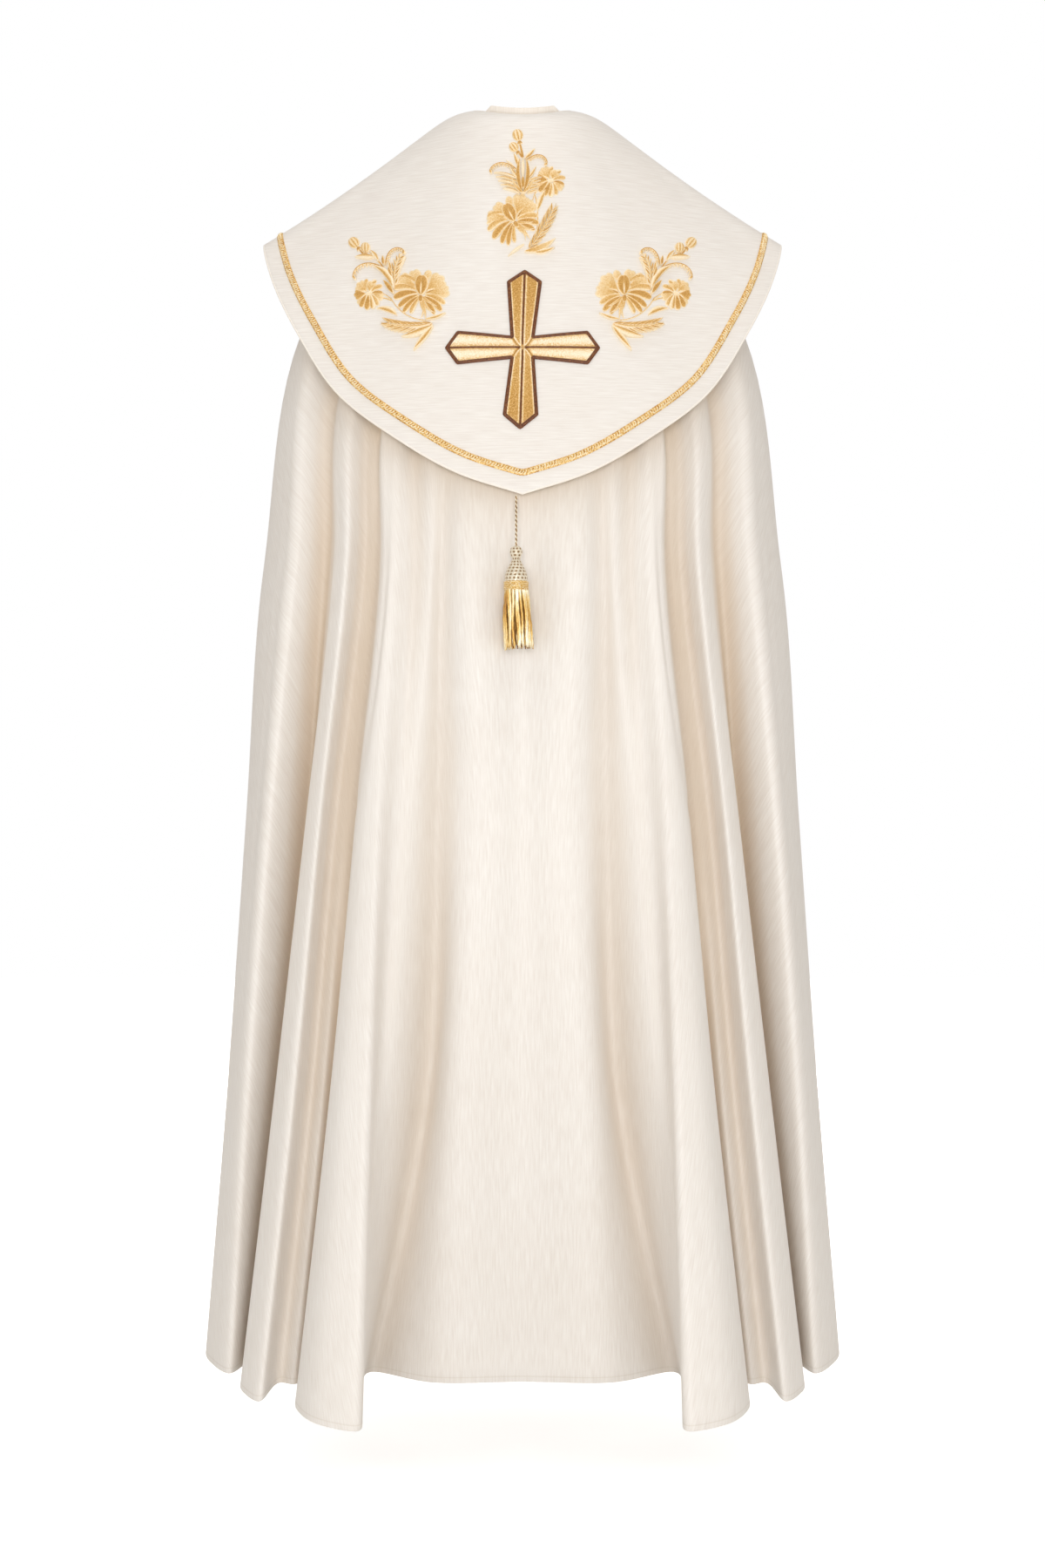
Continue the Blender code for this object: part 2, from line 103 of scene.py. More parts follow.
FOLDS = tuple(Fold(*row) for row in (
    ("centre_back", 0.0, (0.000, -0.191), (0.000, -0.200), (0.000, -0.202), (0.000, -0.205), 0.0, 0.0, 3),
    ("panel_ridge", 17.0, (0.069, -0.199), (0.062, -0.203), (0.079, -0.210), (0.097, -0.209), 0.0, 0.0, 3),
    ("panel_valley", 21.5, (0.089, -0.184), (0.092, -0.180), (0.101, -0.166), (0.166, -0.152), 0.003, 0.0, 2),
    ("inner_rib", 25.0, (0.098, -0.188), (0.118, -0.197), (0.142, -0.214), (0.171, -0.235), 0.0, 0.003, 2),
    ("inner_face", 30.0, (0.117, -0.178), (0.137, -0.201), (0.152, -0.224), (0.170, -0.295), 0.008, 0.012, 3),
    ("back_ridge", 35.5, (0.137, -0.188), (0.156, -0.222), (0.165, -0.288), (0.171, -0.359), 0.0, 0.020, 3),
    ("back_face", 37.5, (0.144, -0.188), (0.168, -0.217), (0.186, -0.278), (0.208, -0.344), 0.0, 0.017, 3),
    ("back_edge", 40.0, (0.150, -0.182), (0.178, -0.205), (0.203, -0.250), (0.239, -0.285), 0.0, 0.011, 3),
    ("back_valley", 42.0, (0.162, -0.150), (0.188, -0.164), (0.204, -0.185), (0.234, -0.196), 0.012, 0.0, 2),
    ("small_ridge", 43.5, (0.167, -0.148), (0.196, -0.160), (0.215, -0.194), (0.247, -0.219), 0.012, 0.0, 2),
    ("small_valley", 45.0, (0.172, -0.146), (0.204, -0.156), (0.227, -0.184), (0.260, -0.209), 0.012, 0.0, 3),
    ("mid_ridge", 50.0, (0.192, -0.171), (0.221, -0.187), (0.245, -0.216), (0.279, -0.248), 0.0, 0.012, 3),
    ("mid_edge", 54.0, (0.205, -0.150), (0.236, -0.162), (0.266, -0.182), (0.303, -0.205), 0.004, 0.010, 3),
    ("mid_valley", 58.0, (0.218, -0.112), (0.240, -0.107), (0.268, -0.102), (0.306, -0.100), 0.020, 0.0, 3),
    ("side_ridge", 66.0, (0.250, -0.130), (0.278, -0.152), (0.300, -0.155), (0.321, -0.140), 0.004, 0.004, 3),
    ("side_face", 76.0, (0.279, -0.078), (0.303, -0.090), (0.325, -0.090), (0.350, -0.085), 0.006, 0.002, 3),
    ("side", 88.0, (0.296, 0.000), (0.315, 0.000), (0.333, 0.000), (0.360, 0.000), 0.007, 0.0, 3),
    ("arm_valley", 104.0, (0.270, 0.085), (0.286, 0.092), (0.303, 0.098), (0.325, 0.100), 0.004, 0.0, 3),
    ("arm_ridge", 116.0, (0.222, 0.138), (0.246, 0.158), (0.276, 0.178), (0.308, 0.196), 0.0, 0.004, 3),
    ("chest_valley", 124.0, (0.178, 0.140), (0.192, 0.147), (0.214, 0.146), (0.238, 0.142), 0.004, 0.0, 4),
    ("chest_ridge", 135.0, (0.126, 0.166), (0.143, 0.198), (0.164, 0.230), (0.188, 0.260), 0.0, 0.006, 3),
    ("inner_valley", 144.0, (0.084, 0.156), (0.096, 0.173), (0.110, 0.186), (0.125, 0.198), 0.0, 0.0, 3),
    ("front_edge", 155.0, (0.040, 0.172), (0.046, 0.202), (0.053, 0.232), (0.060, 0.262), 0.0, 0.0, 0),
))


class Crease(NamedTuple):
    """A soft crease of the cloak: neck angle and height of its two ends, its width and its rise."""

    name: str
    top_angle: float
    top_z: float
    foot_angle: float
    foot_z: float
    width_mm: float
    rise_mm: float


CREASES = (
    Crease("under_tip", 1.2, -0.40, 1.0, -0.80, 6.0, -0.8),
    Crease("panel_left", -8.0, -0.40, -6.5, -1.10, 14.0, 1.6),
    Crease("panel_right", 7.0, -0.40, 7.5, -1.20, 13.0, 1.4),
    Crease("twin_left", -37.6, -0.38, -42.0, -0.90, 5.0, -1.8),
    Crease("twin_right", 37.8, -0.36, 42.0, -0.92, 5.0, -1.7),
    Crease("mid_left", -55.2, -0.42, -56.0, -1.10, 6.0, -2.4),
    Crease("mid_right", 55.0, -0.42, 55.8, -1.12, 6.0, -2.2),
    Crease("outer_left", -71.0, -0.30, -72.0, -1.05, 9.0, -1.8),
    Crease("outer_right", 71.5, -0.32, 71.5, -1.00, 9.0, -1.6),
)


# Small tools


def linear(colour: str) -> tuple[float, float, float, float]:
    """Turn an sRGB hex colour to linear light.

    Each channel is value / 12.92 up to 0.04045, and ((value + 0.055) / 1.055) ** 2.4 above it.

    Args:
        colour: "#RRGGBB".

    Returns:
        Red, green, blue and an alpha of 1.
    """
    value = np.array([int(colour[i : i + 2], 16) for i in (1, 3, 5)]) / 255
    light = np.where(value <= 0.04045, value / 12.92, ((value + 0.055) / 1.055) ** 2.4)
    return (*light.tolist(), 1.0)


def add_node(
    tree: bpy.types.NodeTree, kind: str, settings: dict | None = None, inputs: dict | None = None,
    stops: tuple = (),
) -> bpy.types.Node:
    """Add a node with its settings and links.

    Args:
        tree: The material's or world's node tree.
        kind: The node's type, without "ShaderNode".
        settings: Properties of the node.
        inputs: For each named or numbered socket, a value, another node's output, or another node,
            which stands for its first output in use.
        stops: For a colour ramp, (position, hex colour) pairs.

    Returns:
        The node.
    """
    made = tree.nodes.new("ShaderNode" + kind)
    for name, value in (settings or {}).items():
        setattr(made, name, value)
    for name, value in (inputs or {}).items():
        if isinstance(value, bpy.types.Node):
            value = next(output for output in value.outputs if output.enabled)
        if isinstance(value, bpy.types.NodeSocket):
            tree.links.new(value, made.inputs[name])
        else:
            made.inputs[name].default_value = value
    for index, (position, colour) in enumerate(stops):
        elements = made.color_ramp.elements
        stop = elements[index] if index < len(elements) else elements.new(position)
        stop.position, stop.color = position, linear(colour)
    return made


def new_material(name: str) -> tuple[bpy.types.Material, bpy.types.NodeTree]:
    """Make an empty node material.

    Args:
        name: The finish's name.

    Returns:
        The material and its tree.
    """
    made = bpy.data.materials.new(name)
    made.use_nodes = True
    made.node_tree.nodes.clear()
    return made, made.node_tree


def unit(vectors: np.ndarray) -> np.ndarray:
    """Vectors brought to a length of 1."""
    return vectors / (np.linalg.norm(vectors, axis=-1, keepdims=True) + TINY)


def lengths(path: np.ndarray) -> np.ndarray:
    """Distance along a path of points, or down each column of a grid, from 0."""
    paces = np.linalg.norm(np.diff(path, axis=0), axis=-1)
    return np.concatenate([np.zeros_like(path[:1, ..., 0]), np.cumsum(paces, axis=0)])


def crossed(grid: np.ndarray) -> np.ndarray:
    """The slope down the rows of a grid crossed with the slope along its columns."""
    return np.cross(np.gradient(grid, axis=0), np.gradient(grid, axis=1))


def read(places: np.ndarray, run: np.ndarray, values: np.ndarray) -> np.ndarray:
    """Rows of values read at places along their run, straight between neighbours."""
    return np.stack([np.interp(places, run, column) for column in values.T], axis=-1)


def ring(sides: int) -> np.ndarray:
    """Angles of the points of a ring, evenly set."""
    return np.arange(sides) * TURN / sides


def poles(rows: np.ndarray) -> np.ndarray:
    """Rows with the first and the last one repeated, for the poles of a closed tube."""
    return np.pad(rows, ((1, 1), (0, 0)), "edge")


def through(points: np.ndarray, steps: list | tuple, level_start: bool = False) -> np.ndarray:
    """Rows on a smooth path through rows of points.

    Each span is a cubic Hermite curve. A tangent is the two chords' slopes, each weighted by the
    other chord's length.

    Args:
        points: Rows of points; coordinates after the third are carried along.
        steps: How many intervals each span gets.
        level_start: The path leaves the first row along X alone, as a mirrored half does.

    Returns:
        The rows, sum(steps) + 1 of them.
    """
    points = np.asarray(points, float)
    chords = np.linalg.norm(np.diff(points[..., :3], axis=0), axis=-1)[..., None] + 1e-9
    slopes = np.diff(points, axis=0) / chords
    inner = (slopes[:-1] * chords[1:] + slopes[1:] * chords[:-1]) / (chords[:-1] + chords[1:])
    first = slopes[:1].copy()
    if level_start:
        first[..., 1:3] = 0.0
    tangents = np.concatenate([first, inner, slopes[-1:]])
    span = np.append(np.repeat(np.arange(len(steps)), steps), len(steps) - 1)
    share = np.append(np.concatenate([np.arange(count) / count for count in steps]), 1.0)
    t = share.reshape(-1, *[1] * (points.ndim - 1))
    return (
        (2 * t**3 - 3 * t**2 + 1) * points[span]
        + (t**3 - 2 * t**2 + t) * chords[span] * tangents[span]
        + (3 * t**2 - 2 * t**3) * points[span + 1]
        + (t**3 - t**2) * chords[span] * tangents[span + 1]
    )


def both_halves(half: np.ndarray) -> np.ndarray:
    """Join a right half with its mirror image, X and any coordinate after the third turned round.

    Args:
        half: Grid whose first column is the centre back.

    Returns:
        The grid over both sides.
    """
    other = half[:, :0:-1].copy()
    other[..., 0] *= -1
    other[..., 3:] *= -1
    return np.concatenate([other, half], axis=1)


def sweep(
    path: np.ndarray, normal: np.ndarray, wide: np.ndarray | float, high: np.ndarray | float, sides: int
) -> np.ndarray:
    """Carry an oval along a path, with both ends closed to a point.

    A ring's point is path + normal * high * cos(turn) + (normal x tangent) * wide * sin(turn).

    Args:
        path: Points (n, 3).
        normal: The direction in which the oval stands up at each point (n, 3).
        wide: Half width, for all, (n, 1) or (n, sides).
        high: Half height, the same way.
        sides: Points round the ring.

    Returns:
        Grid (n + 2, sides, 3).
    """
    turn = ring(sides)
    tangent = unit(np.gradient(path, axis=0))
    up = unit(normal - tangent * np.sum(normal * tangent, axis=1, keepdims=True))
    side = np.cross(up, tangent)
    rise = np.broadcast_to(high * np.cos(turn), (len(path), sides))
    reach = np.broadcast_to(wide * np.sin(turn), (len(path), sides))
    rings = path[:, None] + up[:, None] * rise[..., None] + side[:, None] * reach[..., None]
    ends = np.repeat(path[[0, -1], None], sides, axis=1)
    return np.concatenate([ends[:1], rings, ends[1:]])


@dataclass
class Draft:
    """Grids of points gathered into one mesh, with a UV map in metres and marks for each point."""

    points: list = field(default_factory=list)
    corners: list = field(default_factory=list)
    flat: list = field(default_factory=list)
    marks: dict = field(default_factory=dict)
    count: int = 0

    def add(
        self, grid: np.ndarray, uv: np.ndarray, around: bool = False, flipped: bool = False,
        **marks: np.ndarray | float,
    ) -> None:
        """Add a grid of quads.

        Args:
            grid: Points (rows, columns, 3), facing out where rows x columns does.
            uv: (rows, columns, 2), with one more column where the grid goes around.
            around: The last column joins the first.
            flipped: Face the other way.
            marks: A number for the whole grid, or one for each point.
        """
        rows, columns = grid.shape[:2]
        spans = columns if around else columns - 1
        row, column = np.arange(rows - 1)[:, None], np.arange(spans)[None]
        order = slice(None, None, -1 if flipped else 1)

        def quads(width: int, after: np.ndarray) -> np.ndarray:
            """The four corners of each quad, in a grid of a width whose next columns are given."""
            places = ((row, column), (row + 1, column), (row + 1, after), (row, after))
            return np.stack([down * width + along for down, along in places], axis=-1).reshape(-1, 4)

        self.corners.append(quads(columns, (column + 1) % columns) + self.count)
        self.flat.append(uv[:, order].reshape(-1, 2)[quads(spans + 1, column + 1).reshape(-1)])
        self.points.append(grid[:, order].reshape(-1, 3))
        for name, value in marks.items():
            spread = np.broadcast_to(value, (rows, columns))[:, order]
            self.marks.setdefault(name, []).append(spread.reshape(-1))
        self.count += rows * columns

    def tube(
        self, path: np.ndarray, normal: np.ndarray, wide: np.ndarray | float, high: np.ndarray | float,
        sides: int, girth: float, **marks: np.ndarray | float,
    ) -> None:
        """Add an oval carried along a path. The UV map is (distance along it, distance round it).

        Args:
            path: Points (n, 3).
            normal: The direction in which the oval stands up at each point.
            wide: Half width, as sweep() takes it.
            high: Half height.
            sides: Points round the ring.
            girth: How much of the UV map goes once round.
            marks: A number for the whole tube, or rows of them for each point of the path.
        """
        far = np.pad(lengths(path), 1, "edge")
        uv = np.stack(np.meshgrid(far, np.linspace(0, girth, sides + 1), indexing="ij"), axis=-1)
        closed = {name: poles(value) if np.ndim(value) else value for name, value in marks.items()}
        self.add(sweep(path, normal, wide, high, sides), uv, around=True, **closed)

    def build(self, name: str) -> bpy.types.Object:
        """Make the object: the grids' seams and poles are merged within a micron.

        Args:
            name: The object's name.

        Returns:
            The object, at the origin, shaded smooth.
        """
        mesh = bpy.data.meshes.new(name)
        mesh.from_pydata(np.concatenate(self.points).tolist(), [], np.concatenate(self.corners).tolist())
        layer = mesh.uv_layers.new(name="UVMap")
        layer.data.foreach_set("uv", np.concatenate(self.flat).astype(np.float32).ravel())
        for mark, values in self.marks.items():
            made = mesh.attributes.new(mark, "FLOAT", "POINT")
            made.data.foreach_set("value", np.concatenate(values).astype(np.float32))
        shape = bmesh.new()
        shape.from_mesh(mesh)
        bmesh.ops.remove_doubles(shape, verts=shape.verts, dist=MM / 1000)
        shape.to_mesh(mesh)
        shape.free()
        mesh.shade_smooth()
        made = bpy.data.objects.new(name, mesh)
        bpy.context.scene.collection.objects.link(made)
        return made


# Finishes


@dataclass(frozen=True)
class SatinCloth:
    """Ivory satin-faced cloth with slubs along one thread: a soft sheen and faint long streaks."""

    name: str
    lit: str = "#F2EFEB"
    shade: str = "#E5DFD9"
    # The colour of the painted shade between the folds and below the hood's edge
    deep: str = "#C6AB86"
    sewing: str = "#C9BBA8"
    slub_across_mm: float = 1.6
    slub_along_mm: float = 26.0
    # Real threads are 0.2 mm apart; they are drawn 0.9 mm apart so that the weave shows at all
    thread_mm: float = 0.9
    cloud_mm: float = 1000 / 9
    seam_mm: float = 6.0
    seam_half_width_mm: float = 0.7
    relief_mm: float = 0.12
    turned: bool = False
    roughness: float = 0.50

    def material(self) -> bpy.types.Material:
        """Build the material on the piece's UV map, which is its flat cut in metres.

        The colour goes from lit to shade by the slubs, to deep by a faint random mottle and by
        painted shade, a mark that is high between the folds and below the hood's edge, and to the
        sewing's colour in a groove where the mark "edge_distance" is seam_mm.

        Returns:
            The material.
        """
        made, tree = new_material(self.name)
        flat = add_node(tree, "UVMap", {"uv_map": "UVMap"})
        across, along = 1 / (self.slub_across_mm * MM), 1 / (self.slub_along_mm * MM)
        scale = (along, across, 1.0) if self.turned else (across, along, 1.0)
        stretched = add_node(tree, "Mapping", None, {"Vector": flat, "Scale": scale})
        slub = add_node(tree, "TexNoise", None, {"Vector": stretched, "Scale": 1.0, "Detail": 3.0})
        woven = (1 / (self.thread_mm * MM),) * 2 + (1.0,)
        threads = add_node(tree, "Mapping", None, {"Vector": flat, "Scale": woven})
        weave = add_node(tree, "TexNoise", None, {"Vector": threads, "Scale": 1.0, "Detail": 1.0})
        clouds = {"Vector": flat, "Scale": 1 / (self.cloud_mm * MM), "Detail": 2.0}
        cloud = add_node(tree, "TexNoise", None, clouds)
        bounds = {"Value": slub, "From Min": 0.3, "From Max": 0.7, "To Min": 0.0, "To Max": 0.8}
        streak = add_node(tree, "MapRange", None, bounds)
        # Painted shade between the folds and below the hood's edge, with a faint random mottle
        hollow = add_node(tree, "Attribute", {"attribute_name": "hollow"}).outputs["Fac"]
        mottle_and_painted_shade = add_node(tree, "Math", {"operation": "MULTIPLY_ADD"}, {0: cloud, 1: 0.10, 2: hollow})
        distance = add_node(tree, "Attribute", {"attribute_name": "edge_distance"}).outputs["Fac"]
        place = {0: distance, 1: self.seam_mm * MM, 2: self.seam_half_width_mm * MM}
        groove = add_node(tree, "Math", {"operation": "COMPARE"}, place)
        faint = add_node(tree, "Math", {"operation": "MULTIPLY"}, {0: groove, 1: 0.2})
        colour = linear(self.lit)
        for share, other in ((streak, self.shade), (mottle_and_painted_shade, self.deep), (faint, self.sewing)):
            mixed = {"Factor": share, "A": colour, "B": linear(other)}
            colour = add_node(tree, "Mix", {"data_type": "RGBA"}, mixed)
        height = add_node(tree, "Math", {"operation": "MULTIPLY_ADD"}, {0: slub, 1: 1.6, 2: weave})
        sunk = add_node(tree, "Math", {"operation": "MULTIPLY_ADD"}, {0: groove, 1: -1.6, 2: height})
        lift = {"Strength": 0.35, "Distance": self.relief_mm * MM, "Height": sunk}
        bump = add_node(tree, "Bump", None, lift)
        look = {"Base Color": colour, "Roughness": self.roughness, "Normal": bump, "Specular IOR Level": 0.5}
        shader = add_node(tree, "BsdfPrincipled", None, look | {"Sheen Weight": 0.12, "Sheen Roughness": 0.4})
        add_node(tree, "OutputMaterial", None, {"Surface": shader})
        return made


@dataclass(frozen=True)
class StitchedThread:
    """Satin-stitched silk or metal thread: smooth raised cords of light that follow the stitches."""

    name: str
    stops: tuple
    stitch_mm: float = 0.9
    slant: float = 0.35
    roughness: float = 0.42
    metallic: float = 0.0
    relief: float = 0.5
    relief_mm: float = 0.15
    grain: float = 0.25
    speck_mm: float = 1.1

    def material(self) -> bpy.types.Material:
        """Build the material: a ramp over the mark "tone", and stitches across the UV map's u.

        The stitches are sin(2 pi (u + slant * v) / stitch), and specks add up to grain to the tone.

        Returns:
            The material.
        """
        made, tree = new_material(self.name)
        flat = add_node(tree, "UVMap", {"uv_map": "UVMap"})
        parts = add_node(tree, "SeparateXYZ", None, {0: flat}).outputs
        leaning = {0: parts["Y"], 1: self.slant, 2: parts["X"]}
        lean = add_node(tree, "Math", {"operation": "MULTIPLY_ADD"}, leaning)
        phase = add_node(tree, "Math", {"operation": "MULTIPLY"}, {0: lean, 1: TURN / (self.stitch_mm * MM)})
        wave = add_node(tree, "Math", {"operation": "SINE"}, {0: phase})
        place = add_node(tree, "TexCoord").outputs["Object"]
        specks = {"Vector": place, "Scale": 1 / (self.speck_mm * MM), "Detail": 1.0}
        speck = add_node(tree, "TexNoise", None, specks)
        tone = add_node(tree, "Attribute", {"attribute_name": "tone"}).outputs["Fac"]
        bounds = {"From Min": 0.3, "From Max": 0.7, "To Min": -self.grain, "To Max": self.grain}
        grain = add_node(tree, "MapRange", None, {"Value": speck} | bounds)
        lively = add_node(tree, "Math", {"operation": "ADD"}, {0: tone, 1: grain})
        clamped = {"operation": "MULTIPLY_ADD", "use_clamp": True}
        stitched = add_node(tree, "Math", clamped, {0: wave, 1: 0.07, 2: lively})
        colour = add_node(tree, "ValToRGB", None, {0: stitched}, self.stops)
        lift = {"Strength": self.relief, "Distance": self.relief_mm * MM, "Height": stitched}
        bump = add_node(tree, "Bump", None, lift)
        look = {"Base Color": colour, "Roughness": self.roughness, "Metallic": self.metallic, "Normal": bump}
        shader = add_node(tree, "BsdfPrincipled", None, look | {"Sheen Weight": 0.15, "Sheen Roughness": 0.4})
        add_node(tree, "OutputMaterial", None, {"Surface": shader})
        return made


# Satin-faced cloth with slubs, steamed and hung: a soft broad sheen with faint upright streaks
CLOAK_SATIN = SatinCloth("ivory_satin_cloak")
# The same satin on a stiff interlining: lies flat and even, and its streaks run level
HOOD_SATIN = SatinCloth("ivory_satin_hood", shade="#E4DED8", turned=True)
# The satin cut on the bias round a cord: a thin line painted paler, a painted highlight on its curve
PIPING_SATIN = SatinCloth("ivory_satin_piping", lit="#F9F4ED", shade="#F1EAE0")
# Ivory cotton twill, pressed: warmer and closer than the satin
BAND_TWILL = SatinCloth("ivory_twill_band", lit="#F7F1E9", shade="#EEE6DC")
# A short doubled tab of the satin, pressed: plain and even
TAB_SATIN = SatinCloth("ivory_satin_tab", lit="#F2EEEA", shade="#E9E4DE")

# Silk thread laid in satin stitch: pale gold that shines along its stitches and darkens to ochre
FLOWER_SILK = StitchedThread(
    "silk_satin_stitch_flowers",
    ((0.0, "#B98437"), (0.28, "#DDAF65"), (0.58, "#F1D6A6"), (1.0, "#FCEFD6")),
    stitch_mm=1.0, roughness=0.4, grain=0.16,
)
# The same thread over padding: cream for the painted highlights on its crowns
# and bronze for the painted shade where it dips
CROSS_SILK = StitchedThread(
    "silk_satin_stitch_gold",
    ((0.0, "#A8772F"), (0.25, "#C79547"), (0.5, "#E4BD7B"), (0.8, "#FBE8C6"), (1.0, "#FFF5DE")),
    stitch_mm=1.2, roughness=0.38, grain=0.22,
)
# Couched brown silk: a dark, almost matt line with reddish glints
BROWN_SILK = StitchedThread(
    "brown_silk_cord", ((0.0, "#3E1D08"), (0.5, "#683410"), (1.0, "#A9713A")),
    stitch_mm=1.5, roughness=0.5, grain=0.34,
)
# Metal thread wound on a core and looped into braid: grains of bright gold side by side
BRAID_GOLD = StitchedThread(
    "gold_metal_braid", ((0.0, "#BF8A38"), (0.4, "#E8BC6C"), (0.7, "#F7DA9C"), (1.0, "#FFF3D2")),
    stitch_mm=1.1, roughness=0.4, metallic=0.15, grain=0.5, speck_mm=1.9,
)
# Two plies of silver-gilt thread twisted: painted light on beige crowns, painted shade in brown furrows
GILT_CORD = StitchedThread(
    "twisted_silver_gilt_cord", ((0.0, "#4A2A10"), (0.4, "#A47D49"), (0.7, "#D8C29A"), (1.0, "#F5EBD4")),
    stitch_mm=0.8, roughness=0.45, metallic=0.1, grain=0.35,
)
# Silver-gilt thread knotted into a net: greyish beige meshes round small holes in painted brown shade
GILT_NET = StitchedThread(
    "silver_gilt_net", ((0.0, "#553012"), (0.3, "#9C7B50"), (0.6, "#D9CBB0"), (1.0, "#FBF5E8")),
    stitch_mm=0.7, roughness=0.38, metallic=0.35, grain=0.12,
)
# Gold thread wrapped in close rings: many small beads of light
GOLD_WRAP = StitchedThread(
    "gold_wrapped_band", ((0.0, "#B98534"), (0.4, "#E0B564"), (0.7, "#F1D796"), (1.0, "#FDF4DD")),
    stitch_mm=0.8, roughness=0.4, metallic=0.2, grain=0.5,
)
# Smooth gold strands: cream for the painted highlights down each one, and deep brown for
# the painted shade between them
GOLD_STRANDS = StitchedThread(
    "gold_tassel_strands",
    ((0.0, "#784016"), (0.3, "#BF8A33"), (0.55, "#E2B964"), (0.8, "#F6E0A8"), (1.0, "#FFF9E2")),
    stitch_mm=0.9, roughness=0.3, metallic=0.3, grain=0.10,
)


def dress(
    item: bpy.types.Object, finish: SatinCloth | StitchedThread, slot: str, *nodes: str
) -> bpy.types.Object:
    """Give a piece its finish, its body and the nodes that it stands for.

    Args:
        item: The piece.
        finish: Its finish.
        slot: Not used.
        nodes: The CAD nodes that it replaces.

    Returns:
        The piece.
    """
    item.data.materials.append(finish.material())
    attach(item, BODY)
    if nodes:
        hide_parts(*nodes)
    log.info("%s: %d faces, %s", item.name, len(item.data.polygons), finish.name)
    return item


@dataclass(frozen=True)
class Wall:
    """A cloth's wall: its thickness, its side (-1 inwards, 1 outwards) and its rim's rounding."""

    thickness: float
    side: float
    rounding: float
    corner_degrees: float = 60.0

    def give(self, item: bpy.types.Object) -> None:
        """Give a surface its wall and its rounded rim.

        Args:
            item: The surface.
        """
        step = item.modifiers.new("wall", "SOLIDIFY")
        step.thickness, step.offset, step.use_even_offset = self.thickness, self.side, False
        rim = item.modifiers.new("rim", "BEVEL")
        rim.width, rim.segments, rim.limit_method = self.rounding, 2, "ANGLE"
        rim.angle_limit = math.radians(self.corner_degrees)


def cut_cloth(
    name: str, grid: np.ndarray, uv: np.ndarray, wall: Wall, hollow: np.ndarray | float, edge: np.ndarray
) -> bpy.types.Object:
    """Make a cloth piece from its outer face.

    Args:
        name: The piece's name.
        grid: Its outer face.
        uv: Its flat cut in metres, or its place where the cut isn't drawn.
        wall: Its wall.
        hollow: Painted shade at each point, from 0 to 1, between the folds and below the hood.
        edge: Each point's distance from the sewn edge.

    Returns:
        The piece, not yet dressed.
    """
    draft = Draft()
    draft.add(grid, uv, hollow=hollow, edge_distance=edge)
    item = draft.build(name)
    wall.give(item)
    return item


# The forms that other pieces lie on


class EdgeLine(Enum):
    """The two lines round the cape: the hood's edge, and the cloak's line under it."""

    HOOD = "edge"
    CLOAK = "under"


@dataclass
class Neckline:
    """The oval neck opening, highest at the shoulders."""

    half_width: float = 0.062
    half_depth: float = 0.066
    back_z: float = 0.004
    side_z: float = 0.019
    front_z: float = -0.030

    def point(self, angle: np.ndarray, inset: float = 0.0) -> np.ndarray:
        """The neckline's point: an oval in plan, and end_z + (side_z - end_z) * sin^2 in height.

        Args:
            angle: Degrees round the neck from the centre back.
            inset: Distance inside the oval.

        Returns:
            Points, one for each angle.
        """
        turn = np.radians(np.asarray(angle, float))
        end_z = np.where(np.abs(turn) < math.pi / 2, self.back_z, self.front_z)
        x = (self.half_width - inset) * np.sin(turn)
        y = -(self.half_depth - inset) * np.cos(turn)
        return np.stack([x, y, end_z + (self.side_z - end_z) * np.sin(turn) ** 2], axis=-1)


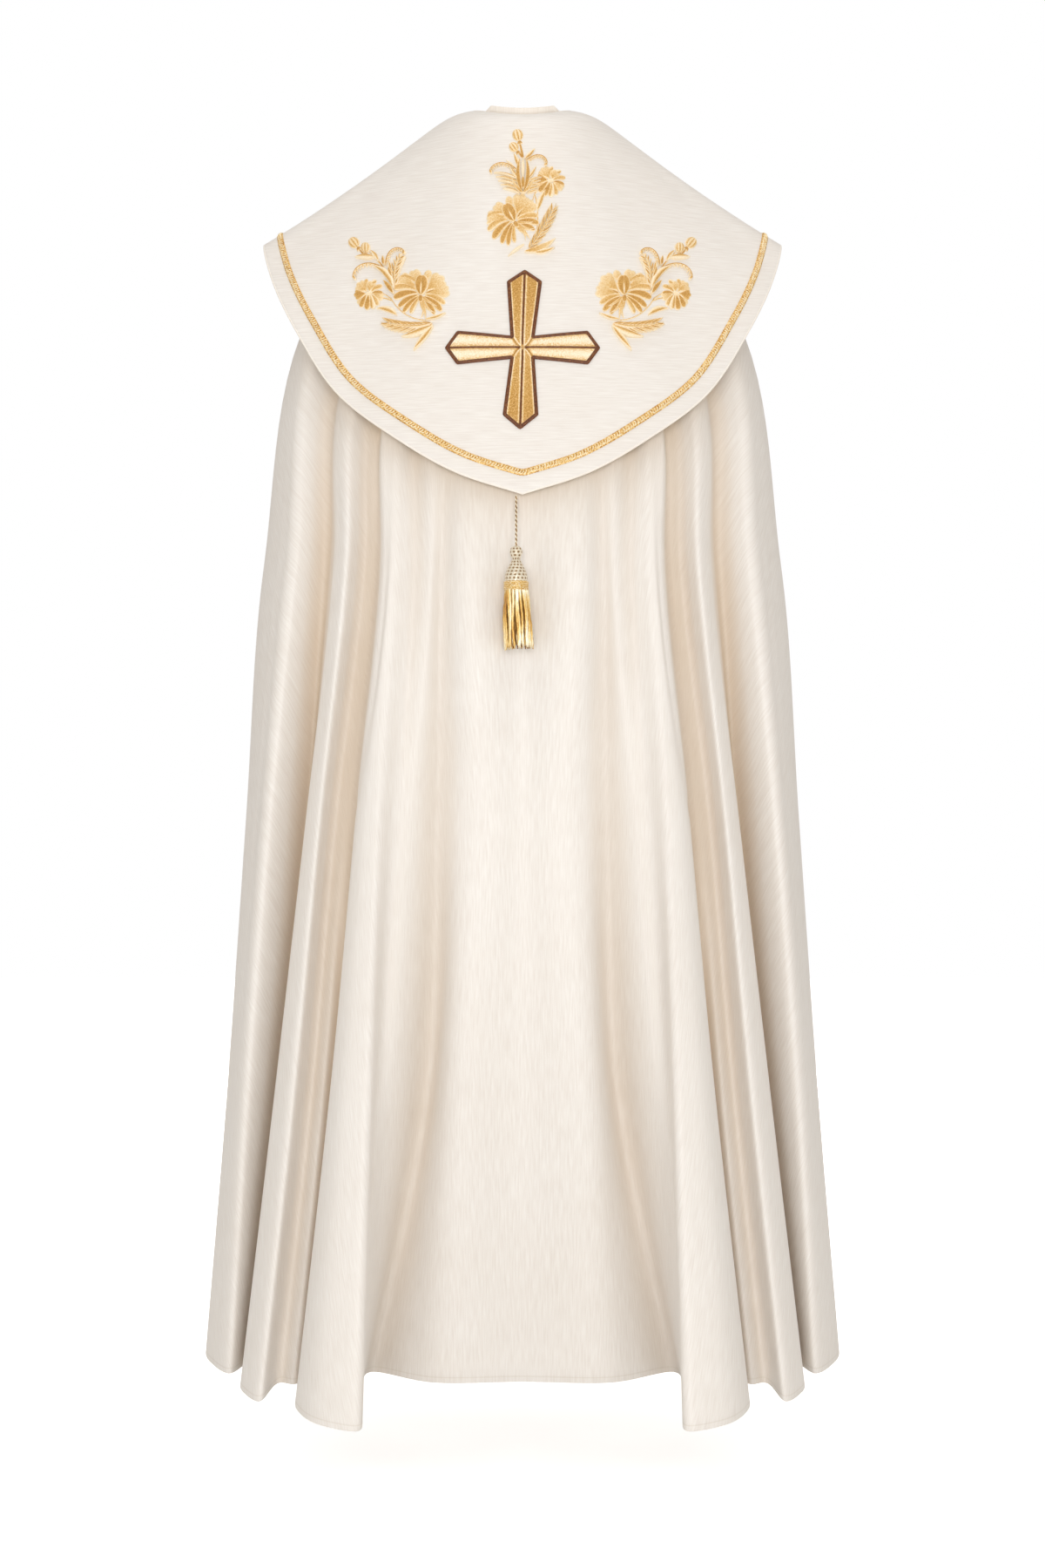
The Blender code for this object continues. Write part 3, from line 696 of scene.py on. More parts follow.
@dataclass
class CapeForm:
    """The stiff cape's surface: rulings from the neckline to its lower edge."""

    neckline: Neckline = field(default_factory=Neckline)
    turn: float = 0.10
    softness: float = 0.07
    fullness: float = 0.30
    sag: float = 0.007
    edge_steps: int = 24
    reach: float = 104.0
    columns: int = 417
    rows: int = 220
    half_span: float = 0.28
    lowest: float = -0.434
    highest: float = 0.0
    spacing: float = 0.00125

    def edge_line(self, line: EdgeLine, angles: np.ndarray) -> np.ndarray:
        """Points of a line round the cape: a smooth path through its named points.

        Args:
            line: Which line.
            angles: Neck angles in degrees.

        Returns:
            Points, one for each angle.
        """
        rows = np.array([getattr(point, line.value) for point in HOOD_EDGE])
        dense = through(rows, [self.edge_steps] * (len(rows) - 1))
        named = [point.angle for point in HOOD_EDGE]
        dense_angles = np.interp(np.arange(len(dense)) / self.edge_steps, range(len(rows)), named)
        found = read(np.abs(angles), dense_angles, dense)
        found[..., 0] *= np.where(np.asarray(angles) < 0, -1.0, 1.0)
        return found

    def fall(self, share: np.ndarray) -> np.ndarray:
        """Share of the drop at a share of a ruling: a hyperbola, flat beside the neck and then even.

        Args:
            share: Share of the ruling.

        Returns:
            Share of the drop.
        """

        def bend(value: np.ndarray | float) -> np.ndarray | float:
            """The hyperbola, before it is brought to run from 0 to 1."""
            return value - self.turn + np.sqrt((value - self.turn) ** 2 + self.softness**2)

        return (bend(share) - bend(0.0)) / (bend(1.0) - bend(0.0))

    def draped(self, line: EdgeLine, angles: np.ndarray, shares: np.ndarray) -> np.ndarray:
        """Rulings from the neckline to an edge line.

        In plan a ruling runs straight, faster near the neck by fullness * cos^2(angle). In height it
        follows fall() and hangs lower by 4 * sag * sin^2(angle) * share * (1 - share).

        Args:
            line: The edge line.
            angles: Neck angle of each column.
            shares: Share of the ruling of each row, or of each row and column.

        Returns:
            Grid (rows, columns, 3).
        """
        neck = self.neckline.point(angles)[None]
        fallen = self.edge_line(line, angles)[None] - neck
        share = np.asarray(shares, float)
        share = share[:, None] if share.ndim == 1 else share
        belly = share * (1 - share)
        run = share + self.fullness * np.clip(np.cos(np.radians(angles)), 0, 1) ** 2 * belly
        hang = 4 * self.sag * np.sin(np.radians(angles)) ** 2 * belly
        level = neck[..., :2] + fallen[..., :2] * run[..., None]
        height = neck[..., 2:] + fallen[..., 2:] * self.fall(share)[..., None] - hang[..., None]
        return np.concatenate([level, height], axis=-1)

    def __post_init__(self) -> None:
        """Prepare the depth of the back of the cape on a raster of x and z."""
        angles = np.linspace(-self.reach, self.reach, self.columns)
        rising = self.draped(EdgeLine.HOOD, angles, np.linspace(0, 1, self.rows))[::-1].swapaxes(0, 1)
        self.levels = np.arange(self.lowest, self.highest, self.spacing)
        self.sides = np.arange(-self.half_span, self.half_span + self.spacing, self.spacing)
        placed = np.stack([read(self.levels, line[:, 2], line[:, :2]) for line in rising], axis=1)
        self.depth = np.array([np.interp(self.sides, row[:, 0], row[:, 1]) for row in placed])
        self.rise, self.slope = np.gradient(self.depth, self.spacing)

    def lay(self, x: np.ndarray, z: np.ndarray, height: np.ndarray | float) -> np.ndarray:
        """Points on the back of the cape at x and z, lifted square to the cloth.

        The depth is read between the four nearest raster points. The normal is (dy/dx, -1, dy/dz).

        Args:
            x: Across.
            z: Up.
            height: Lift in metres.

        Returns:
            Points with x and z's shape.
        """
        across = np.clip((x - self.sides[0]) / self.spacing, 0, len(self.sides) - 1.001)
        up = np.clip((z - self.levels[0]) / self.spacing, 0, len(self.levels) - 1.001)
        i, j = across.astype(int), up.astype(int)
        s, t = across - i, up - j

        def between(raster: np.ndarray) -> np.ndarray:
            """A raster's values at the places, even between its points.

            Args:
                raster: A number for each level and side.

            Returns:
                A number for each place.
            """
            low = raster[j, i] * (1 - s) + raster[j, i + 1] * s
            high = raster[j + 1, i] * (1 - s) + raster[j + 1, i + 1] * s
            return low * (1 - t) + high * t

        normal = unit(np.stack([between(self.slope), -np.ones_like(x), between(self.rise)], axis=-1))
        return np.stack([x, between(self.depth), z], axis=-1) + normal * np.asarray(height)[..., None]


# Pieces


@dataclass
class Cloak:
    """The draped cloak: a near half-round cut that hangs in folds from the neck."""

    form: CapeForm
    wall: Wall = Wall(0.002, -1.0, 0.0007)
    hem_z: float = -1.395
    elbow_z: float = -0.50
    hip_z: float = -0.79
    knee_z: float = -1.07
    under_hood: float = 0.0042
    yoke_rows: tuple = (0.0, 0.15, 0.4, 0.7, 1.0)
    yoke_step: float = 0.05
    finer: int = 3
    row_steps: tuple = (2, 3, 4, 5, 12, 18, 18, 22)
    middle_y: float = 0.02
    # Painted shade between the folds, and a painted shadow of the hood below its edge
    hollow_reach: float = 0.055
    hollow_depth: float = 0.022
    hollow_rows: int = 4
    under_edge: float = 0.42
    edge_reach: float = 0.034
    open_angle: float = 6.0
    closed_angle: float = 42.0

    def yoke(self, angles: np.ndarray) -> np.ndarray:
        """Rows under the hood: the cape's surface moved in by under_hood and the tuck along its normals.

        Args:
            angles: Neck angle of each column.

        Returns:
            Grid, one row for each of yoke_rows.
        """
        shares = np.array(self.yoke_rows)
        rows = self.form.draped(EdgeLine.CLOAK, angles, shares)
        fine = self.form.draped(EdgeLine.CLOAK, angles, np.arange(0, 1 + self.yoke_step / 2, self.yoke_step))
        normals = unit(crossed(fine))[np.round(shares / self.yoke_step).astype(int)]
        normals[0] = (0.0, 0.0, 1.0)
        normals[:, 0, 0] = 0.0
        tuck = np.array([fold.tuck for fold in FOLDS]) * shares[:, None] ** 3
        return rows - normals * (self.under_hood + tuck)[..., None]

    def surface(self) -> tuple[np.ndarray, np.ndarray]:
        """The cloak's outer face and each column's neck angle.

        Paths run across the folds at each level, then down from neck to hem. The soft creases are
        bell curves square to their lines, raised along the normals.

        Returns:
            Grid (rows, columns, 3) from the left front edge round the back to the right one, and
            the neck angle of each point.
        """
        angles = np.array([fold.angle for fold in FOLDS])
        levels = {"elbow": self.elbow_z, "hip": self.hip_z, "knee": self.knee_z}
        lower = [[(*getattr(fold, level), z) for fold in FOLDS] for level, z in levels.items()]
        hem = [(*fold.hem, self.hem_z - fold.droop) for fold in FOLDS]
        stations = np.concatenate([self.yoke(angles), np.array(lower), np.array([hem])])
        turns = np.broadcast_to(angles[None, :, None], (*stations.shape[:2], 1))
        stations = np.concatenate([stations, turns], axis=-1).swapaxes(0, 1)
        columns = through(stations, [fold.steps * self.finer for fold in FOLDS[:-1]], True)
        half = through(columns.swapaxes(0, 1), self.row_steps)
        half[:, 0, 0] = 0.0
        full = both_halves(half)
        grid, angle = full[..., :3], full[..., 3]
        per_degree = np.gradient(lengths(grid.swapaxes(0, 1)).T, axis=1) / np.gradient(angle, axis=1)
        rise = np.zeros_like(angle)
        for crease in CREASES:
            share = np.clip((crease.top_z - grid[..., 2]) / (crease.top_z - crease.foot_z), 0, 1)
            away = (angle - crease.top_angle - (crease.foot_angle - crease.top_angle) * share) * per_degree
            fade = np.sin(np.pi * share) ** 0.7
            rise += crease.rise_mm * MM * fade * np.exp(-((away / (crease.width_mm * MM)) ** 2))
        return grid + unit(crossed(grid)) * rise[..., None], angle

    def build(self) -> bpy.types.Object:
        """The UV map is the flat cut: u = r sin(t) and v = -r cos(t), where r is the distance from
        the cut's centre down a column and t is the hem's length over its radius.

        Returns:
            The cloak.
        """
        grid, angle = self.surface()
        down = lengths(grid)
        drop = float(down[-1].mean())
        hem, neck = lengths(grid[-1]), lengths(grid[0])
        spread = (hem[-1] - neck[-1]) / drop
        inner = neck[-1] / spread
        outer = inner + drop
        turn = (hem - hem[-1] / 2) / outer
        radius = inner + down
        uv = np.stack([radius * np.sin(turn), -radius * np.cos(turn)], axis=-1)
        edge = np.minimum(down[-1] - down, np.minimum(hem, hem[-1] - hem)[None] * (radius / outer))
        item = cut_cloth("cloak_cloth", grid, uv, self.wall, self.hollows(grid, angle, down), edge)
        dress(item, CLOAK_SATIN, "cloak_cloth", "cloak")
        return item

    def hollows(self, grid: np.ndarray, angle: np.ndarray, down: np.ndarray) -> np.ndarray:
        """How deep each point lies between the folds beside it, from 0 to 1.

        The depth d is the distance inside the row smoothed by a bell curve of width hollow_reach,
        and the mark, painted shade, is 1 - exp(-d / hollow_depth). The wide folds at the middle take in
        more light, so the mark grows from open_angle to closed_angle. Below the hood's edge a painted
        shadow of the hood adds under_edge * exp(-distance / edge_reach).

        Args:
            grid: The cloak's outer face.
            angle: Neck angle of each point.
            down: Distance of each point from the neck.

        Returns:
            A mark for each point.
        """
        radius = np.hypot(grid[..., 0], grid[..., 1] - self.middle_y)
        inside = np.empty_like(radius)
        for row, (line, out) in enumerate(zip(grid, radius)):
            along = lengths(line)
            weight = np.exp(-(((along[:, None] - along[None]) / self.hollow_reach) ** 2))
            weight *= np.gradient(along)[None]
            inside[row] = weight @ out / weight.sum(axis=1) - out
        covered = sum(self.row_steps[: len(self.yoke_rows) - 1])
        rows = np.arange(len(grid)) - covered + self.row_steps[3]
        lower = np.clip(rows / self.hollow_rows, 0, 1)[:, None]
        narrow = np.clip((np.abs(angle) - self.open_angle) / (self.closed_angle - self.open_angle), 0, 1)
        # Painted shadow of the hood on the cloth just below its edge
        shaded = self.under_edge * np.exp(-np.clip(down - down[covered], 0, None) / self.edge_reach)
        return (1 - np.exp(-np.clip(inside, 0, None) / self.hollow_depth)) * lower * narrow + shaded


@dataclass
class Hood:
    """The flat hood that lies on the back and shoulders, with a corded rim."""

    form: CapeForm
    wall: Wall = Wall(0.0024, -1.0, 0.0008)
    columns_per_span: int = 12
    rows: int = 72
    rim_radius: float = 0.0013
    rim_sides: int = 10
    slope: float = 1.25
    seam_shift: float = 0.012
    no_seam: float = 0.05

    def build(self) -> list[bpy.types.Object]:
        """Build the shell and its rim, a round cord along the lower edge.

        The columns are evenly set between the edge's named points. The UV map is x and the height,
        stretched for the hood's slope.

        Returns:
            The two pieces.
        """
        named = [point.angle for point in HOOD_EDGE]
        places = np.linspace(0, len(named) - 1, (len(named) - 1) * self.columns_per_span + 1)
        half = np.interp(places, range(len(named)), named)
        angles = np.concatenate([-half[:0:-1], half])
        grid = self.form.draped(EdgeLine.HOOD, angles, np.linspace(0, 1, self.rows + 1))
        down = lengths(grid)
        uv = np.stack([grid[..., 0], grid[..., 2] * self.slope], axis=-1)
        shell = cut_cloth("hood_cloth", grid, uv, self.wall, 0.0, down[-1] - down + self.seam_shift)
        dress(shell, HOOD_SATIN, "hood_cloth", "hood")
        normal = unit(crossed(grid))[-1]
        path = grid[-1] - normal * self.wall.thickness / 2
        draft = Draft()
        girth = TURN * self.rim_radius
        marks = {"hollow": 0.0, "edge_distance": self.no_seam}
        draft.tube(path, normal, self.rim_radius, self.rim_radius, self.rim_sides, girth, **marks)
        rim = dress(draft.build("hood_rim"), PIPING_SATIN, "hood_cloth")
        return [shell, rim]


@dataclass
class Braid:
    """The gold braid on the hood: a flat tape with two looping cords on it."""

    form: CapeForm
    inset: float = 0.0215
    width: float = 0.0074
    tape: float = 0.0009
    gap: float = 0.0002
    scallop: float = 0.06
    loop_pitch: float = 0.0062
    loop_radius: float = 0.0021
    loop_steps: int = 14
    cord_radius: float = 0.00068
    cord_sides: int = 5
    cord_girth: float = 0.004
    rounding: float = 0.007
    # Places across the tape, in half widths, and its height there, in thicknesses
    section: tuple = (
        (-1.0, 0.0), (-1.0, 0.6), (-0.9, 1.0), (-0.45, 0.9), (0.0, 1.0), (0.45, 0.9), (0.9, 1.0), (1.0, 0.6),
        (1.0, 0.0),
    )

    def line(self) -> tuple[np.ndarray, np.ndarray, np.ndarray]:
        """The braid's centre line, its outward normals and its directions towards the hood's edge.

        The share of a ruling that lies inset from the edge is 1 - piece * inset / (length * sine),
        and the line is smoothed by a bell curve so that it turns round the hood's tip.

        Returns:
            Points, normals and sideways directions, 1 mm apart.
        """
        angles = np.linspace(-HOOD_EDGE[-1].angle, HOOD_EDGE[-1].angle, 1401)
        edge = self.form.edge_line(EdgeLine.HOOD, angles)
        along = unit(np.gradient(edge, axis=0))
        piece = 0.15
        ruling = edge - self.form.draped(EdgeLine.HOOD, angles, [1 - piece])[0]
        length = np.linalg.norm(ruling, axis=1)
        sine = np.sqrt(1 - (np.sum(along * ruling, axis=1) / length) ** 2)
        shares = 1 - piece * self.inset / (length * sine)
        strip = self.form.draped(EdgeLine.HOOD, angles, np.stack([shares - 0.01, shares]))
        run = lengths(strip[1])
        even = np.linspace(0, run[-1], int(run[-1] / MM))
        path, normal = read(even, run, strip[1]), read(even, run, unit(crossed(strip))[1])
        wing = 12
        bell = np.exp(-((np.arange(-wing, wing + 1) * MM / self.rounding) ** 2))
        for values in (path, normal):
            smooth = [np.convolve(values[:, i], bell / bell.sum(), "valid") for i in range(3)]
            values[wing:-wing] = np.stack(smooth, axis=-1)
        return path, unit(normal), unit(np.cross(np.gradient(path, axis=0), normal))

    def build(self) -> bpy.types.Object:
        """Build the tape, then the two cords, half a loop apart: cycloids that overlap on the tape.

        A cord's place is pitch * phase / (2 pi) + 0.8 * loop_radius * sin(phase) along the tape and
        loop_radius * cos(phase) across it.

        Returns:
            The braid.
        """
        path, normal, side = self.line()
        run = lengths(path)
        draft = Draft()
        across, height = np.array(self.section).T
        scallop = 1 + self.scallop * np.cos(2 * TURN * run / self.loop_pitch)[:, None]
        half = self.width / 2 * across[None] * scallop
        lift = (height * self.tape + self.gap)[None, :, None]
        tape = path[:, None] + side[:, None] * half[..., None] + normal[:, None] * lift
        uv = np.stack(np.broadcast_arrays(run[:, None], across[None] * self.width / 2), axis=-1)
        draft.add(tape, uv, flipped=True, tone=0.30)
        loops = run[-1] / self.loop_pitch
        phase = np.linspace(0, loops * TURN, int(loops * self.loop_steps))
        for start in (0.0, math.pi):
            wave = np.sin(phase + start)
            place = phase * self.loop_pitch / TURN + self.loop_radius * 0.8 * wave
            sway = self.loop_radius * np.cos(phase + start)
            rise = self.tape + self.cord_radius * (0.9 + 0.7 * wave)
            middle, out, over = (read(place, run, rows) for rows in (path, normal, side))
            cord = middle + over * sway[:, None] + out * rise[:, None]
            # Painted light and shade: each cord is paler where it rises over the other, darker where it dips
            # under
            tone = (0.68 + 0.27 * wave)[:, None]
            draft.tube(
                cord, out, self.cord_radius, self.cord_radius, self.cord_sides, self.cord_girth, tone=tone
            )
        return dress(draft.build("braid_gold"), BRAID_GOLD, "gold_braid", "hood_braid")


class CrossArm(NamedTuple):
    """An arm of the cross: its direction, its corner's reach and half width, its tip's reach."""

    name: str
    turn: float
    reach: float
    half_width: float
    tip: float
    waist_power: float
    pale: bool


# The level arms are pale: a painted sheen of their upright stitches, paler than the upright arms
CROSS_ARMS = (
    CrossArm("up", 90.0, 0.0745, 0.0171, 0.0865, 0.5, False),
    CrossArm("left", 180.0, 0.0705, 0.0171, 0.0825, 2.0, True),
    CrossArm("down", 270.0, 0.0753, 0.0172, 0.0898, 0.5, False),
    CrossArm("right", 0.0, 0.0705, 0.0171, 0.0825, 2.0, True),
)


@dataclass
class Cross:
    """The padded cross: two raised satin-stitched panels in each arm, with a brown outline."""

    form: CapeForm
    centre_z: float = -0.2735
    lean: float = math.radians(1.9)
    waist: float = 0.0110
    padding: float = 0.0016
    base: float = 0.0005
    outline_width: float = 0.0045
    outline_height: float = 0.0012
    outline_lift: float = 0.0004
    outline_girth: float = 0.006
    seam_width: float = 0.0026
    panel_rows: int = 61
    panel_columns: int = 15
    end_share: float = 0.06
    joint_width: float = 0.006
    shade_reach: float = 0.0036
    painted_highlight_line: float = 0.0021
    painted_highlight_reach: float = 0.0008

    def place(
        self, arm: CrossArm, out: np.ndarray, side: np.ndarray, height: np.ndarray | float
    ) -> np.ndarray:
        """Points of an arm on the hood: turned to its direction, and leaning to +X beyond the waist.

        Args:
            arm: The arm.
            out: Distance along it.
            side: Distance across it.
            height: Distance above the hood.

        Returns:
            The points.
        """
        turn = math.radians(arm.turn)
        lean = math.tan(self.lean) * math.sin(turn) * np.maximum(out - self.waist, 0)
        x = out * math.cos(turn) + side * math.sin(turn) + lean
        z = out * math.sin(turn) - side * math.cos(turn)
        return self.form.lay(x, self.centre_z + z, height)

    def half_width(self, arm: CrossArm, out: np.ndarray) -> np.ndarray:
        """Half width along an arm: a power curve from the centre to the waist, then an even flare.

        Args:
            arm: The arm.
            out: Distance along it.

        Returns:
            Its half width there.
        """
        inner = self.waist * np.clip(out / self.waist, 0, 1) ** arm.waist_power
        flare = (arm.half_width - self.waist) * np.clip((out - self.waist) / (arm.reach - self.waist), 0, 1)
        return inner + flare

    def build(self) -> list[bpy.types.Object]:
        """Build the panels and the outline.

        Returns:
            The two pieces.
        """
        panels, outline = Draft(), Draft()
        for arm in CROSS_ARMS:
            for way in (-1.0, 1.0):
                self.panel(panels, arm, way)
            seam = np.linspace(0.003, arm.tip - 0.001, 40)
            self.cord(outline, arm, seam, np.zeros_like(seam), self.seam_width)
            places = (self.waist, arm.reach, arm.tip, arm.reach, self.waist)
            corners = np.array([places, (1.0, 1.0, 0.0, -1.0, -1.0)]).T
            far, part = read(np.linspace(0, 4, 121), np.arange(5), corners).T
            side = part * self.half_width(arm, np.minimum(far, arm.reach))
            self.cord(outline, arm, far, side, self.outline_width)
        return [
            dress(panels.build("cross_panels"), CROSS_SILK, "cross_embroidery", "cross"),
            dress(outline.build("cross_outline"), BROWN_SILK, "cross_embroidery"),
        ]

    def panel(self, draft: Draft, arm: CrossArm, way: float) -> None:
        """Add a padded panel, half of an arm.

        Its height is base + padding * (1 - (2 * across - 1) ** 2) ** 0.4, less over the last
        end_share of its length and where the arm is under joint_width wide. Its tone is painted
        light and shade: pale arms carry a painted sheen, with painted shade within shade_reach of
        their edges, and the others have a painted highlight line at painted_highlight_line from them.

        Args:
            draft: Where it goes.
            arm: The arm.
            way: 1 or -1, the side of the arm.
        """
        share = np.linspace(0, 1, self.panel_rows)[:, None]
        across = np.linspace(0, 1, self.panel_columns)[None]
        out = share * (arm.reach + (arm.tip - arm.reach) * (1 - across))
        wide = self.half_width(arm, share * arm.reach)
        side = way * across * wide
        crown = np.sqrt(np.clip(1 - (2 * across - 1) ** 2, 0, 1)) ** 0.8
        ends = np.clip((1 - share) / self.end_share, 0, 1) ** 0.5 * np.clip(wide / self.joint_width, 0, 1)
        near = np.minimum(across, 1 - across) * wide
        # Painted shade near the panel's edges, and a painted highlight line just inside them
        shaded = np.exp(-((near / self.shade_reach) ** 1.3))
        line = np.exp(-(((near - self.painted_highlight_line) / self.painted_highlight_reach) ** 2))
        tone = 0.94 - 0.70 * shaded if arm.pale else 0.22 + 0.50 * line + 0.12 * (1 - share)
        grid = self.place(arm, out, side, self.base + self.padding * crown * ends)
        draft.add(grid, np.stack([out, side], axis=-1), flipped=way > 0, tone=tone)

    def cord(self, draft: Draft, arm: CrossArm, out: np.ndarray, side: np.ndarray, width: float) -> None:
        """Lay a flat brown cord along a line of an arm.

        Args:
            draft: Where it goes.
            arm: The arm.
            out: The line's distances along the arm.
            side: The line's distances across it.
            width: The cord's width.
        """
        path = self.place(arm, out, side, self.base + self.outline_lift)
        above = self.place(arm, out, side, self.base + self.outline_lift + MM)
        draft.tube(path, above - path, width / 2, self.outline_height, 8, self.outline_girth, tone=0.45)


class Shape(Enum):
    """Outlines of the stitched shapes."""

    PETAL = "petal"
    LEAF = "leaf"
    STROKE = "stroke"
    BEAD = "bead"


class Shade(Enum):
    """How a stitched shape goes from dark to pale thread."""

    PALE_EDGE = "pale edge"
    PALE_TIP = "pale tip"
    ONE_SIDE = "one side"
    OTHER_SIDE = "other side"
    PALE = "pale"
    DARK = "dark"
    STRIPED = "striped"


# Flowers in their own frame, in shares of their size: a petal's root is given across and up from the
# joint, and its direction from straight up, anticlockwise. Scalloped petals: root across, root up,
# direction, length, half spread, scallops and shade
FULL_BLOOM_LOBES = (
    (-0.05, 0.20, 22, 0.84, 22, 2, Shade.PALE_TIP),
    (0.06, 0.30, -16, 0.72, 17, 1, Shade.PALE_TIP),
    (-0.10, 0.15, 52, 0.94, 21, 2, Shade.PALE_TIP),
    (0.12, 0.12, -46, 0.96, 28, 3, Shade.PALE_TIP),
    (0.12, 0.06, -76, 0.98, 20, 2, Shade.PALE_TIP),
)
# Long petals: root across, root up, direction, length, width, bend and shade
FULL_BLOOM_PETALS = (
    (0.16, 0.08, -62, 0.92, 0.34, -54, Shade.DARK),
    (0.14, 0.02, -84, 0.90, 0.34, -48, Shade.PALE_EDGE),
    (0.10, -0.04, -104, 0.92, 0.34, -40, Shade.DARK),
    (0.05, -0.06, -126, 0.84, 0.28, -30, Shade.DARK),
    (-0.14, 0.42, 38, 0.84, 0.26, 66, Shade.PALE_EDGE),
    (-0.16, 0.30, 50, 0.92, 0.27, 62, Shade.PALE_TIP),
    (-0.16, 0.18, 62, 1.00, 0.34, 56, Shade.PALE_EDGE),
    (-0.12, 0.08, 84, 1.04, 0.38, 46, Shade.DARK),
    (-0.08, 0.00, 106, 0.98, 0.31, 38, Shade.DARK),
    (-0.06, -0.04, 124, 0.94, 0.27, 30, Shade.DARK),
    (-0.02, -0.05, 142, 0.80, 0.24, 22, Shade.PALE_EDGE),
)
# Stamens: direction, bend and length
STAMENS = ((176, 44, 0.80), (190, 66, 0.92), (204, -20, 0.98), (214, -62, 0.94), (226, 30, 0.80))
SMALL_BLOOM_LOBES = (
    (0.00, 0.05, 56, 1.05, 34, 3, Shade.PALE_TIP),
    (0.00, 0.00, 100, 1.02, 28, 3, Shade.DARK),
    (0.00, -0.05, 140, 1.02, 24, 2, Shade.PALE_TIP),
    (0.10, 0.00, -100, 0.92, 26, 2, Shade.PALE_TIP),
    (0.05, 0.00, 0, 0.84, 40, 3, Shade.PALE_TIP),
)
SMALL_BLOOM_PETALS = (
    (-0.16, 0.16, 34, 0.92, 0.42, -66, Shade.PALE_EDGE),
    (0.02, 0.16, 4, 0.98, 0.44, -66, Shade.ONE_SIDE),
    (0.15, 0.08, -26, 0.98, 0.44, -62, Shade.PALE_EDGE),
    (0.20, 0.00, -60, 0.84, 0.38, -52, Shade.DARK),
    (-0.16, -0.10, 150, 1.00, 0.52, 20, Shade.DARK),
    (0.20, -0.08, 236, 0.92, 0.46, -46, Shade.PALE_EDGE),
    (0.12, -0.10, 208, 1.02, 0.54, -28, Shade.ONE_SIDE),
    (0.00, -0.10, 178, 1.08, 0.58, -4, Shade.DARK),
)


